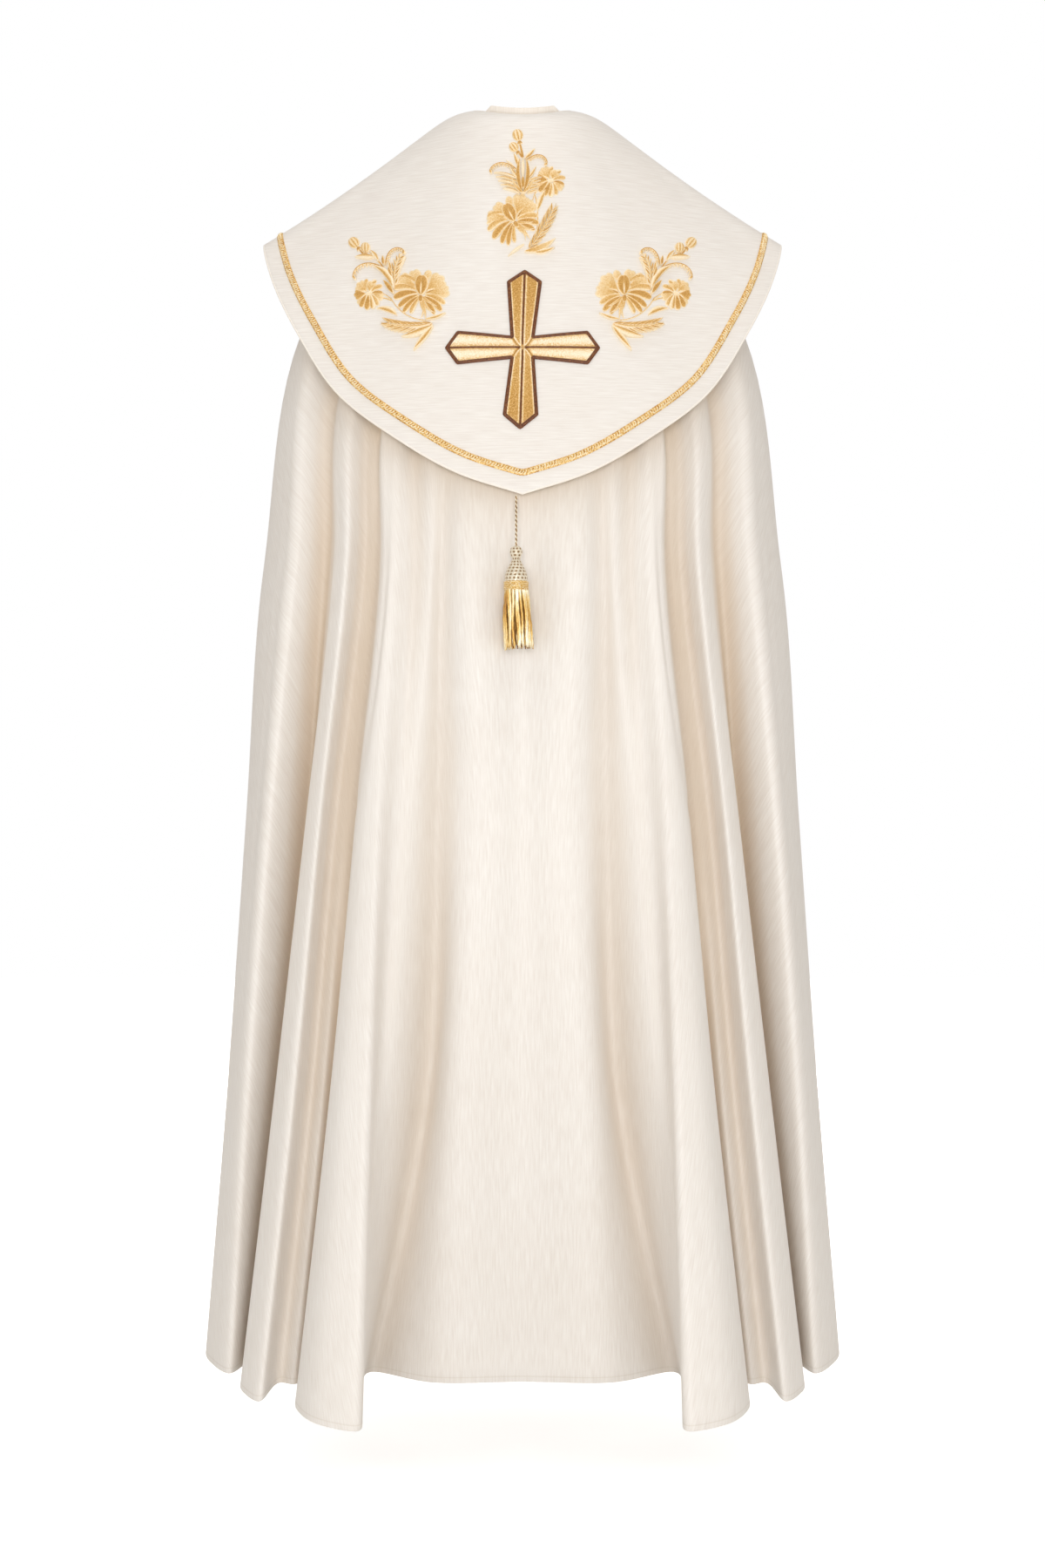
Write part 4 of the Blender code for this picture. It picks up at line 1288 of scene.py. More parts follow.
@dataclass
class Spray:
    """A spray of stitched flowers on the hood, drawn in millimetres round its own middle.

    Its methods place a shape by its root, x across and y up, and by turn, its direction in degrees
    from +X. Each shape lies over the ones before it.
    """

    form: CapeForm
    name: str
    x: float
    z: float
    mirrored: bool = False
    stretch: tuple = ((1.0, 0.0), (0.0, 1.0))
    padding: float = 0.00042
    base: float = 0.0002
    layer: float = 0.00007
    foot: float = 0.00005
    outline_mm: float = 0.55
    rim_tone: float = 0.90
    lobe_start: float = 0.12
    tightening: float = 1.7
    level: int = 0
    draft: Draft = field(default_factory=Draft)

    def tone(self, shade: Shade, share: np.ndarray, across: np.ndarray, rim: np.ndarray) -> np.ndarray:
        """The mark "tone" of a shape: 0 is dark thread and 1 is pale thread.

        Args:
            shade: How it is coloured.
            share: Share of its length, from the root.
            across: From -1 to 1 over its width.
            rim: 1 on its outline and 0 inside.

        Returns:
            A tone for each point.
        """
        share, across, rim = np.broadcast_arrays(share, across, rim)
        inner = {
            Shade.PALE_EDGE: 0.20 + 0.16 * share + 0.50 * across**4 + 0.16 * across,
            Shade.PALE_TIP: 0.14 + 0.46 * share,
            Shade.ONE_SIDE: 0.48 + 0.38 * np.tanh(3 * across),
            Shade.OTHER_SIDE: 0.48 - 0.38 * np.tanh(3 * across),
            Shade.PALE: 0.80 + 0.14 * across,
            Shade.DARK: 0.02 + 0.14 * share + 0.26 * np.abs(across) ** 3,
            Shade.STRIPED: 0.42 - 0.36 * np.cos(3 * np.pi * across) + 0.12 * share,
        }[shade]
        return inner + (self.rim_tone - inner) * rim

    def lay(
        self, flat: np.ndarray, share: np.ndarray, across: np.ndarray, half: np.ndarray, length: float,
        width: float, shade: Shade,
    ) -> None:
        """Lay one padded shape on the hood, stretched for the hood's slope, its edges tucked down.

        The height is padding * width ** 0.5 * sqrt(1 - across ** 2) * sin(pi * share) ** 0.4, over a
        layer for each shape that lies below it.

        Args:
            flat: Its grid in millimetres (rows, columns, 2).
            share: Share of the length of each row.
            across: From -1 to 1 for each column.
            half: Half width of each row in millimetres.
            length: Its length in millimetres.
            width: Its full width in millimetres.
            shade: How it is coloured.
        """
        share, half = share[:, None], half[:, None]
        dome = np.sqrt(1 - across**2) * np.clip(np.sin(np.pi * share), 0, 1) ** 0.4
        height = self.base + self.layer * self.level + self.padding * math.sqrt(max(width, 1.0)) * dome
        height[[0, -1]] = self.foot
        height[:, [0, -1]] = self.foot
        self.level += 1
        near = np.minimum((1 - np.abs(across)) * half, (1 - share) * length)
        rim = np.exp(-((near / (self.outline_mm * min(1.6, width / 6.0))) ** 2))
        uv = np.stack(np.broadcast_arrays(share * length * MM, half * across * MM), axis=-1)
        sign = -1.0 if self.mirrored else 1.0
        placed = flat @ np.array(self.stretch).T * MM
        grid = self.form.lay(self.x + sign * placed[..., 0], self.z + placed[..., 1], height)
        self.draft.add(grid, uv, flipped=self.mirrored, tone=self.tone(shade, share, across, rim))

    def line(
        self, x: float, y: float, turn: float, length: float, bend: float, share: np.ndarray,
        tightening: float = 1.0,
    ) -> tuple[np.ndarray, np.ndarray]:
        """Points and headings of a line whose heading is turn + bend * share ** tightening.

        Args:
            x: Its root, across.
            y: Its root, up.
            turn: Its direction at the root.
            length: Its length.
            bend: Degrees that it turns through.
            share: Share of the length of each point.
            tightening: Above 1 the end curls more than the root.

        Returns:
            The points, and the headings in radians.
        """
        heading = np.radians(turn + bend * share**tightening)
        ahead = np.stack([np.cos(heading), np.sin(heading)], axis=-1)
        paces = (ahead[1:] + ahead[:-1]) / 2 * np.diff(share)[:, None] * length
        return np.array([x, y]) + np.vstack([[0, 0], np.cumsum(paces, axis=0)]), heading

    def stitch(
        self, x: float, y: float, turn: float, length: float, width: float, bend: float, shape: Shape,
        shade: Shade, tightening: float = 1.0,
    ) -> None:
        """A bent strip along a line, as wide at each share of its length as its shape says.

        Args:
            x: Its root, across.
            y: Its root, up.
            turn: Its direction at the root.
            length: Its length.
            width: Its full width.
            bend: Degrees that it turns through.
            shape: Its outline.
            shade: Its colouring.
            tightening: Above 1 the end curls more than the root.
        """
        rows = int(np.clip(length / 1.2, 9, 40))
        share = np.pad((1 - np.cos(np.linspace(0, np.pi, rows))) / 2, 1, "edge")
        across = np.pad(np.linspace(-1, 1, 11 if width > 3 else 5), 1, "edge")[None]
        middle, heading = self.line(x, y, turn, length, bend, share, tightening)
        outline = {
            Shape.PETAL: (share + 0.02) ** 0.6 * np.sqrt(np.clip(1 - share**4, 0, 1)) * 1.14,
            Shape.LEAF: np.sin(np.pi * share**0.85) ** 0.9,
            Shape.STROKE: np.clip(np.minimum(share * 9, (1 - share) * 14), 0.2, 1) * (1 - 0.3 * share),
            Shape.BEAD: np.sqrt(np.clip(1 - (2 * share - 1) ** 2, 0, 1)),
        }[shape]
        half = width / 2 * outline
        left = np.stack([-np.sin(heading), np.cos(heading)], axis=-1)
        flat = middle[:, None] + left[:, None] * (half[:, None] * across)[..., None]
        self.lay(flat, share, across, half, length, width, shade)

    def leaf(
        self, x: float, y: float, turn: float, length: float, width: float, bend: float, shade: Shade
    ) -> None:
        """A strip that is pointed at both ends, as stitch() takes it."""
        self.stitch(x, y, turn, length, width, bend, Shape.LEAF, shade)

    def stem(
        self, x: float, y: float, turn: float, length: float, width: float, bend: float, shade: Shade
    ) -> None:
        """A strip of nearly even width, as stitch() takes it."""
        self.stitch(x, y, turn, length, width, bend, Shape.STROKE, shade)

    def lobe(
        self, x: float, y: float, turn: float, length: float, spread: float, scallops: int, shade: Shade
    ) -> None:
        """A fan-shaped petal whose far edge has round scallops.

        A point lies at the root plus length * share * (1 + 0.09 * |sin(scallops * half turn across
        it)| - 0.22 * across ** 2) in the direction turn + spread * across.

        Args:
            x: Its root, across.
            y: Its root, up.
            turn: Its direction.
            length: Its length.
            spread: Half of the angle that it fills.
            scallops: How many.
            shade: Its colouring.
        """
        share = np.pad(np.linspace(0, 1, 14), 1, "edge")
        across = np.pad(np.linspace(-1, 1, 8 * scallops + 1), 1, "edge")[None]
        reach = 1 + 0.09 * np.abs(np.sin(scallops * np.pi * (across + 1) / 2)) - 0.22 * across**2
        far = length * (self.lobe_start + (1 - self.lobe_start) * share[:, None] * reach)
        opened = np.sin(np.pi / 2 * np.clip(share[:, None] + 0.25, 0, 1))
        heading = np.radians(turn + spread * across * opened)
        flat = np.array([x, y]) + np.stack([far * np.cos(heading), far * np.sin(heading)], axis=-1)
        half = length * math.sin(math.radians(spread))
        self.lay(flat, share, across, half * np.clip(share, 0.1, 1), length, 2 * half, shade)

    def bud(self, x: float, y: float, turn: float, size: float) -> None:
        """A round bud: a ball between two side petals, a pale one in front and a calyx of three tips.

        Args:
            x: Its middle, across.
            y: Its middle, up.
            turn: Which way it points.
            size: Its length.
        """
        heading = math.radians(turn)
        x, y = x - math.cos(heading) * size * 0.5, y - math.sin(heading) * size * 0.5
        self.stitch(x, y, turn, size * 0.92, size * 0.84, 0, Shape.BEAD, Shade.STRIPED)
        for way, shade in ((1, Shade.PALE_TIP), (-1, Shade.DARK)):
            self.stitch(x, y, turn + way * 44, size * 0.86, size * 0.36, -way * 78, Shape.PETAL, shade)
        self.leaf(x, y, turn + 6, size * 0.66, size * 0.24, 14, Shade.PALE)
        for side in (-34, 0, 34):
            self.leaf(x, y, turn + 180 + side, size * 0.34, size * 0.17, 0, Shade.DARK)

    def feather(
        self, x: float, y: float, turn: float, length: float, width: float, bend: float, barbs: int,
        slant: float,
    ) -> None:
        """A feathered leaf: a middle rib with long slanted barbs, shorter towards the tip.

        Args:
            x: Its root, across.
            y: Its root, up.
            turn: Its direction at the root.
            length: Its length.
            width: The longest barb.
            bend: Degrees that it turns through.
            barbs: How many on each side.
            slant: Angle between rib and barbs.
        """
        share = np.linspace(0.04, 0.88, barbs)
        roots, headings = self.line(x, y, turn, length, bend, np.append(share, 1.0))
        for index in range(barbs):
            reach = width * (0.62 + 0.38 * math.sin(math.pi * share[index])) * (1 - 0.35 * share[index] ** 3)
            for way in (1, -1):
                direction = math.degrees(headings[index]) + way * slant * 1.3
                shade = (Shade.DARK, Shade.PALE_TIP)[(index + (way > 0)) % 2]
                self.leaf(*roots[index], direction, reach, 2.1, -way * slant * 0.6, shade)
        self.leaf(x, y, turn, length * 1.04, 2.2, bend, Shade.PALE_TIP)

    def curl(self, x: float, y: float, turn: float, length: float, bend: float) -> None:
        """A curled tendril: a stroke that tightens to a hook, with short ticks on its inner side.

        Args:
            x: Its root, across.
            y: Its root, up.
            turn: Its direction at the root.
            length: Its length.
            bend: Degrees that it turns through.
        """
        way = 1 if bend > 0 else -1
        roots, headings = self.line(x, y, turn, length, bend, np.linspace(0, 1, 34), self.tightening)
        aside = np.degrees(headings)
        for index in range(4, 32, 3):
            self.stitch(*roots[index], aside[index] + way * 62, 3.6, 1.5, 0, Shape.BEAD, Shade.PALE_TIP)
        self.stitch(x, y, turn, length, 1.7, bend, Shape.STROKE, Shade.DARK, self.tightening)
        self.stitch(*roots[-3], aside[-3] + way * 30, 4.4, 3.2, way * 40, Shape.BEAD, Shade.PALE_EDGE)

    def petals(self, x: float, y: float, turn: float, size: float, lobes: tuple, long_petals: tuple) -> None:
        """A flower's petals from its two tables, the scalloped ones behind.

        Args:
            x: Its joint, across.
            y: Its joint, up.
            turn: Which way its top points.
            size: Its radius.
            lobes: Rows of scalloped petals.
            long_petals: Rows of long petals.
        """
        self.level = 0
        sine, cosine = math.sin(math.radians(turn)), math.cos(math.radians(turn))

        def root(across: float, up: float) -> tuple[float, float]:
            """A petal's root, from its place in the flower's own frame."""
            return x + size * (across * sine + up * cosine), y + size * (up * sine - across * cosine)

        for across, up, side, length, spread, scallops, shade in lobes:
            self.lobe(*root(across, up), turn + side, size * length, spread, scallops, shade)
        for across, up, side, length, width, bend, shade in long_petals:
            self.stitch(*root(across, up), turn + side, size * length, size * width, bend, Shape.PETAL, shade)

    def full_bloom(self, x: float, y: float, turn: float, size: float) -> None:
        """The large open flower: its petals, long stamens and a cup of two dark lobes.

        Args:
            x: Its joint, across.
            y: Its joint, up.
            turn: Which way its top points.
            size: Its radius.
        """
        self.petals(x, y, turn, size, FULL_BLOOM_LOBES, FULL_BLOOM_PETALS)
        for side, bend, length in STAMENS:
            self.leaf(x, y, turn + side, size * length, size * 0.12, bend, Shade.PALE_TIP)
        for side in (34, -34):
            self.stitch(x, y, turn + side, size * 0.84, size * 0.38, -side * 2.0, Shape.PETAL, Shade.DARK)
        self.leaf(x, y, turn + 10, size * 0.76, size * 0.15, -24, Shade.PALE)
        self.stitch(x, y, turn + 182, size * 0.28, size * 0.22, 0, Shape.BEAD, Shade.DARK)

    def small_bloom(self, x: float, y: float, turn: float, size: float) -> None:
        """The smaller flower: its petals round an oval heart.

        Args:
            x: Its joint, across.
            y: Its joint, up.
            turn: Which way its top points.
            size: Its radius.
        """
        self.petals(x, y, turn, size, SMALL_BLOOM_LOBES, SMALL_BLOOM_PETALS)
        lean = math.radians(turn - 60)
        x, y = x - math.cos(lean) * size * 0.24, y - math.sin(lean) * size * 0.24
        self.stitch(x, y, turn - 60, size * 0.48, size * 0.30, 0, Shape.BEAD, Shade.PALE)

    def finish(self) -> bpy.types.Object:
        """Build the spray's mesh and dress it."""
        return dress(self.draft.build(self.name), FLOWER_SILK, "cross_embroidery")


def side_spray(form: CapeForm, name: str, x: float, z: float, mirrored: bool) -> bpy.types.Object:
    """The spray at each side of the cross: its large flower is next to the cross.

    Args:
        form: The hood's surface.
        name: The piece's name.
        x: Its middle, across.
        z: Its middle, up.
        mirrored: Drawn the other way round.

    Returns:
        The piece.
    """
    spray = Spray(form, name, x, z, mirrored, ((1.031, -0.023), (-0.072, 1.096)))
    spray.stem(36, -34, 186, 52, 1.9, -74, Shade.ONE_SIDE)
    spray.stem(1, 0, 118, 56, 2.0, 20, Shade.ONE_SIDE)
    spray.stem(-34, 36, 130, 13, 2.8, 0, Shade.DARK)
    spray.stem(-30, 33, 106, 11, 2.6, 0, Shade.DARK)
    spray.stem(-2, -16, 124, 22, 2.1, 44, Shade.ONE_SIDE)
    spray.stem(-3, -14, 152, 16, 2.1, 30, Shade.OTHER_SIDE)
    spray.stem(-6, 12, 124, 26, 2.2, 2, Shade.DARK)
    spray.bud(-46.5, 51.5, 128, 15)
    spray.bud(-33, 45.5, 90, 13)
    spray.curl(-10, 24, 88, 36, -152)
    spray.curl(-8, 18, 146, 50, 132)
    spray.leaf(-22, 33, 172, 22, 5.6, 14, Shade.ONE_SIDE)
    spray.leaf(-18, 29, 116, 15, 5.0, 22, Shade.ONE_SIDE)
    spray.leaf(-12, 24, 96, 11, 3.4, 0, Shade.DARK)
    spray.leaf(-4, 12, 96, 18, 4.6, 4, Shade.ONE_SIDE)
    spray.feather(1, 3, 102, 34, 11, -50, 7, slant=32.0)
    spray.leaf(-2, 6, 108, 17, 4.2, -8, Shade.DARK)
    spray.leaf(-1, -2, 96, 36, 7.2, 74, Shade.OTHER_SIDE)
    spray.leaf(-1, -8, 116, 19, 5.4, 22, Shade.DARK)
    spray.small_bloom(-29, -6, 86, 15.5)
    spray.full_bloom(28, -8, 86, 27)
    spray.leaf(2, -30, 130, 25, 6.2, 66, Shade.OTHER_SIDE)
    spray.leaf(40, -38, 199, 56, 9.0, -36, Shade.PALE)
    spray.feather(40, -38, 197, 54, 19, -34, 12, slant=20.0)
    spray.leaf(41, -40, 214, 37, 6.6, -26, Shade.ONE_SIDE)
    spray.leaf(41, -41, 226, 34, 5.6, 10, Shade.OTHER_SIDE)
    spray.leaf(33, -34, 8, 23, 3.2, 22, Shade.ONE_SIDE)
    return spray.finish()


def top_spray(form: CapeForm, name: str, x: float, z: float) -> bpy.types.Object:
    """The tall spray above the cross: its large flower is at the foot.

    Args:
        form: The hood's surface.
        name: The piece's name.
        x: Its middle, across.
        z: Its middle, up.

    Returns:
        The piece.
    """
    spray = Spray(form, name, x, z, stretch=((1.003, 0.0), (0.0, 1.074)))
    spray.stem(20, 6, 208, 26, 1.9, 62, Shade.ONE_SIDE)
    spray.stem(9, -2, -74, 60, 1.9, -34, Shade.ONE_SIDE)
    spray.stem(-3.5, 34, 96, 22, 3.2, 12, Shade.DARK)
    spray.stem(-4, 36, 126, 11, 2.8, 0, Shade.DARK)
    spray.bud(-9.5, 62, 104, 15)
    spray.bud(-14, 48, 126, 13)
    spray.leaf(-2, 34, 40, 17, 4.4, 10, Shade.ONE_SIDE)
    spray.leaf(-7, 24, 108, 18, 4.6, 8, Shade.OTHER_SIDE)
    spray.leaf(-11, 20, 118, 17, 3.0, 26, Shade.PALE)
    spray.curl(0, 31, 44, 32, -150)
    spray.curl(-9, 20, 138, 38, 118)
    for rank in range(5):
        shade = (Shade.ONE_SIDE, Shade.PALE_EDGE)[rank % 2]
        spray.leaf(-7, -5 + 3.6 * rank, 146, 20 + 2.6 * rank, 2.6, 34, shade)
        spray.leaf(1, -5 + 3.2 * rank, 32, 13 + 1.0 * rank, 2.6, -30, shade)
    for side in (1, -1):
        spray.leaf(-3.5 - side * 3, 9, 90 + side * 46, 20, 3.4, -side * 20, Shade.ONE_SIDE)
        spray.leaf(-3.5, -5, 90 + side * 27, 41, 4.6, -side * 46, Shade.DARK)
        spray.leaf(-3.5, -5, 90 + side * 54, 21, 3.6, -side * 34, Shade.PALE_TIP)
    spray.leaf(-3.5, 12, 90, 23, 3.6, 0, Shade.PALE)
    spray.stitch(-3.5, 0, 90, 13, 4.4, 0, Shape.BEAD, Shade.DARK)
    spray.small_bloom(27, 10, 70, 15.5)
    spray.full_bloom(-13, -35, 118, 27)
    spray.leaf(12, -24, 80, 26, 6.0, -24, Shade.ONE_SIDE)
    spray.feather(3, -65, 50, 57, 17, 18, 10, slant=24.0)
    spray.leaf(-2, -68, 2, 38, 6.8, 42, Shade.PALE_TIP)
    spray.leaf(8, -69, 2, 24, 4.8, 22, Shade.ONE_SIDE)
    spray.leaf(-2, -60, 212, 22, 3.0, 8, Shade.PALE)
    return spray.finish()


@dataclass
class NeckBand:
    """The low sewn band round the neck, which stands up behind the neck alone."""

    neckline: Neckline
    wall: Wall = Wall(0.002, -1.0, 0.0006)
    inset: float = 0.0026
    rise: float = 0.008
    side_rise: float = 0.0008
    rise_from: float = 37.0
    rise_to: float = 45.0
    drop: float = 0.005
    seam_shift: float = 0.002
    front: float = 155.0

    def build(self) -> bpy.types.Object:
        """Build the band: its height falls evenly between two neck angles.

        Returns:
            The band.
        """
        angles = np.linspace(-self.front, self.front, 241)
        line = self.neckline.point(angles, self.inset)
        rise = np.interp(np.abs(angles), (self.rise_from, self.rise_to), (self.rise, self.side_rise))
        share = np.linspace(0, 1, 9)[:, None]
        z = line[:, 2] + rise * (1 - share) - self.drop * share
        grid = np.stack(np.broadcast_arrays(line[:, 0], line[:, 1], z), axis=-1)
        uv = np.stack(np.broadcast_arrays(lengths(line), z), axis=-1)
        item = cut_cloth("neckband_cloth", grid, uv, self.wall, 0.0, rise * share + self.seam_shift)
        dress(item, BAND_TWILL, "cloak_cloth", "neckband")
        return item


@dataclass
class ClosingTab:
    """The plain tab that closes the fronts across the chest."""

    form: CapeForm
    wall: Wall = Wall(0.0022, 1.0, 0.0009)
    top_z: float = -0.085
    bottom_z: float = -0.150
    half_width: float = 0.062
    lift: float = 0.0026
    crown: float = 0.0010
    fronts_x: float = 0.040
    fronts_angle: float = 118.0

    def build(self) -> bpy.types.Object:
        """Build the tab: each row stands clear of the hood's front where the hood comes out most.

        The row's y is the greatest y of the hood's points nearest to it in x and z, smoothed by a
        cubic over the height, and the tab bulges by crown * (1 - (x / half_width) ** 2).

        Returns:
            The tab.
        """
        angles = np.linspace(self.fronts_angle, HOOD_EDGE[-1].angle, 60)
        front = self.form.draped(EdgeLine.HOOD, angles, np.linspace(0, 1, 60)).reshape(-1, 3)
        heights = np.linspace(self.bottom_z, self.top_z, 25)
        sides = np.linspace(-self.half_width, self.half_width, 49)
        reach = np.maximum(np.abs(sides), self.fronts_x)
        away = (front[:, 0] - reach[:, None]) ** 2 + (front[:, 2] - heights[:, None, None]) ** 2
        y = front[np.argmin(away, axis=-1), 1].max(axis=1)
        y = np.polyval(np.polyfit(heights, y, 3), heights) + self.lift
        x, z = np.meshgrid(sides, heights)
        grid = np.stack([x, y[:, None] + self.crown * (1 - (x / self.half_width) ** 2), z], axis=-1)
        edge = np.minimum(self.half_width - np.abs(x), np.minimum(z - self.bottom_z, self.top_z - z))
        item = cut_cloth("closing_tab_cloth", grid, np.stack([x, z], axis=-1), self.wall, 0.0, edge)
        dress(item, TAB_SATIN, "hood_cloth", "closing_tab")
        return item


@dataclass
class TasselCord:
    """The twisted cord from the hood's tip, through the tassel's head, into its strands."""

    x: float = -0.0068
    top_y: float = -0.2025
    foot_y: float = -0.2130
    top_z: float = -0.4385
    head_z: float = -0.4940
    foot_z: float = -0.5750
    diameter: float = 0.0020
    pitch: float = 0.0052
    furrow: float = 0.2
    sides: int = 18
    girth: float = 0.006

    def path(self) -> np.ndarray:
        """Centre line: straight from the hood's tip to the head, then down its axis.

        Returns:
            Points from the top.
        """
        z = np.linspace(self.top_z, self.foot_z, 240)
        share = np.clip((self.top_z - z) / (self.top_z - self.head_z), 0, 1)
        y = self.top_y + (self.foot_y - self.top_y) * share
        return np.stack([np.full_like(z, self.x), y, z], axis=-1)

    def build(self) -> bpy.types.Object:
        """Build the cord: two plies, with a radius of diameter / 2 * (1.1 + furrow cos(2 (turn - twist))).

        Returns:
            The cord.
        """
        path = self.path()
        twist = math.pi * lengths(path)[:, None] / self.pitch
        ply = 1 + self.furrow * np.cos(2 * (ring(self.sides) - twist))
        radius = self.diameter / 2 * (ply + 0.10)
        back = np.tile([0.0, -1.0, 0.0], (len(path), 1))
        draft = Draft()
        # Painted light and shade: pale on the plies' crowns, dark in the furrows between them
        tone = np.clip(2.4 * ply - 1.9, 0, 1)
        draft.tube(path, back, radius, radius, self.sides, self.girth, tone=tone)
        return dress(draft.build("tassel_cord_twisted"), GILT_CORD, "tassel_cord", "tassel_cord")


@dataclass
class Tassel:
    """The tassel: a netted head, a wrapped band and a skirt of twisted strands."""

    x: float = -0.0068
    y: float = -0.2130
    rim_z: float = -0.5425
    length: float = 0.0640
    flare: float = 0.30
    swing: float = 0.0026
    relief: float = 0.0006
    turned_sides: int = 128
    turned_girth: float = 0.07
    mesh: float = 0.0038
    hole: float = 0.30
    wrap_pitch: float = 0.0016
    beads: int = 40
    bead_shift: float = 9.0
    strand_radius: float = 0.00150
    strand_sides: int = 10
    strand_girth: float = 0.008
    strand_pitch: float = 0.022
    bundles: int = 9
    bundle_start: float = 0.6
    gather: float = 0.09
    overlap: float = 0.002
    unevenness: float = 0.025
    ring_rise: float = 0.03
    ripple: float = 0.0006
    furrow: float = 0.12
    # Rows of the net, counted from the top, and the number of holes in each
    holes: tuple = ((0, 6), (1, 9), (3, 7), (6, 12), (11, 17))
    # Radius and number of strands of each ring, from outside
    rings: tuple = ((0.0118, 27), (0.0088, 17), (0.0050, 9))
    # Radius and z down the head and down the band
    head_profile: tuple = (
        (0.0010, -0.4935), (0.0046, -0.4955), (0.0062, -0.5002), (0.0050, -0.5048), (0.0037, -0.5078),
        (0.0054, -0.5114), (0.0088, -0.5180), (0.0114, -0.5255), (0.0117, -0.5318),
    )
    band_profile: tuple = (
        (0.0110, -0.5314), (0.0127, -0.5324), (0.0129, -0.5365), (0.0128, -0.5410), (0.0112, -0.5428),
    )

    def build(self) -> list[bpy.types.Object]:
        """Build the head, the band and the skirt.

        Returns:
            The three pieces.
        """
        head = self.turned("tassel_head", self.head_profile, 14, self.net)
        band = self.turned("tassel_band", self.band_profile, 12, self.wrap)
        return [
            dress(head, GILT_NET, "tassel_thread", "tassel"),
            dress(band, GOLD_WRAP, "tassel_thread"),
            dress(self.skirt(), GOLD_STRANDS, "tassel_thread"),
        ]

    def net(self, turn: np.ndarray, run: np.ndarray) -> np.ndarray:
        """Relief of the net: rows of round holes, staggered, more of them where the head is wider.

        It is 1 - exp(-(around / hole) ** 2 - (down / hole) ** 2), where around and down are the
        distances from the nearest hole's middle, in meshes.

        Args:
            turn: Angle round the head.
            run: Distance down its profile.

        Returns:
            From 0 in a hole to 1 on the thread.
        """
        row = np.floor(run / self.mesh)
        count = np.round(np.interp(row, *np.array(self.holes).T))
        around = (count * turn / TURN + 0.5 * (row % 2)) % 1 - 0.5
        down = run / self.mesh - row - 0.5
        return 1 - np.exp(-((around / self.hole) ** 2) - (down / self.hole) ** 2)

    def wrap(self, turn: np.ndarray, run: np.ndarray) -> np.ndarray:
        """Relief of the wrapped band: rings of beads of twisted thread, each turned by bead_shift.

        It is |sin(pi * run / wrap_pitch)| * (0.55 + 0.45 * |sin(beads / 2 * turn)|).

        Args:
            turn: Angle round the band.
            run: Distance down its profile.

        Returns:
            From 0 between rings to 1 on a bead.
        """
        bead = np.abs(np.sin(self.beads / 2 * turn + self.bead_shift * np.floor(run / self.wrap_pitch)))
        return np.abs(np.sin(math.pi * run / self.wrap_pitch)) * (0.55 + 0.45 * bead)

    def turned(
        self, name: str, profile: tuple, steps: int, relief: Callable[[np.ndarray, np.ndarray], np.ndarray]
    ) -> bpy.types.Object:
        """A profile turned round the tassel's axis and raised by a relief, with both ends closed.

        Args:
            name: The piece's name.
            profile: (radius, z) from the top.
            steps: Rows for each span.
            relief: From 0 to 1, by the turn and the distance down the profile.

        Returns:
            The piece.
        """
        dense = through(np.pad(profile, ((0, 0), (0, 1))), [steps] * (len(profile) - 1))[:, :2]
        run = lengths(dense)
        turn = ring(self.turned_sides)
        raised = relief(turn[None], run[:, None])
        radius = dense[:, :1] + self.relief * raised * np.clip(dense[:, :1] / 0.003, 0, 1)
        radius = np.pad(radius, ((1, 1), (0, 0)))
        z = poles(dense[:, 1:])
        x, y = self.x + radius * np.cos(turn), self.y + radius * np.sin(turn)
        around = np.linspace(0, self.turned_girth, self.turned_sides + 1)
        uv = np.stack(np.meshgrid(np.pad(run, 1, "edge"), around, indexing="ij"), axis=-1)
        draft = Draft()
        grid = np.stack(np.broadcast_arrays(x, y, z), axis=-1)
        # Painted shade where the relief sinks (net holes, gaps between rings), pale where it stands out
        draft.add(grid, uv, around=True, tone=poles(raised) * 0.78 + 0.04)
        return draft.build(name)

    def skirt(self) -> bpy.types.Object:
        """The strands: smooth tubes in three rings, drawn together in bundles, flared and swung to +X.

        A strand's place round the ring is index / count of a turn, moved towards its bundle's
        middle by gather * sin(bundles * place), and its lower end is slightly uneven. Each strand
        has a random tone, with painted light on top: painted highlights just below the band, on the
        bundles' crowns, down one side of each strand and at the tips, and painted shade between the
        bundles and in the inner rings.

        Returns:
            The skirt, not yet dressed.
        """
        draft = Draft()
        share = np.linspace(0, 1, 40)
        turn = ring(self.strand_sides)
        taper = np.clip((1 - share) * 14, 0.35, 1)[:, None]
        # Painted light: paler just below the band and at the tips, which face down into shade
        ends = (0.35 * np.exp(-share * 9) + 0.30 * share**5)[:, None]
        strands = [
            (rank, radius, count, index)
            for rank, (radius, count) in enumerate(self.rings)
            for index in range(count)
        ]
        for rank, radius, count, index in strands:
            place = TURN * (index + 0.5 * rank) / count
            bundle = self.bundles * place + self.bundle_start
            wave = math.sin(12.9 * index + 4.1 * rank)
            angle = place - self.gather * math.sin(bundle) * np.sin(math.pi * (0.12 + 0.7 * share))
            length = self.length * (1 - self.unevenness * (1 + wave) - self.ring_rise * rank)
            out = radius * (1 + self.flare * share * (0.75 + 0.25 * np.abs(np.cos(angle))))
            ripple = self.ripple * np.sin(7 * share + 5 * wave)
            x = self.x + out * np.cos(angle) + self.swing * share**1.5 + ripple
            y = self.y + radius * (1 + 0.5 * self.flare * share) * np.sin(angle)
            z = self.rim_z + self.overlap - (length + self.overlap) * share
            twist = TURN * share * self.length / self.strand_pitch + 2.4 * wave
            ply = 1 + self.furrow * np.cos(2 * (turn - twist[:, None]))
            thick = self.strand_radius * ply * taper
            normal = np.stack([np.cos(angle), np.sin(angle), 0 * angle], axis=-1)
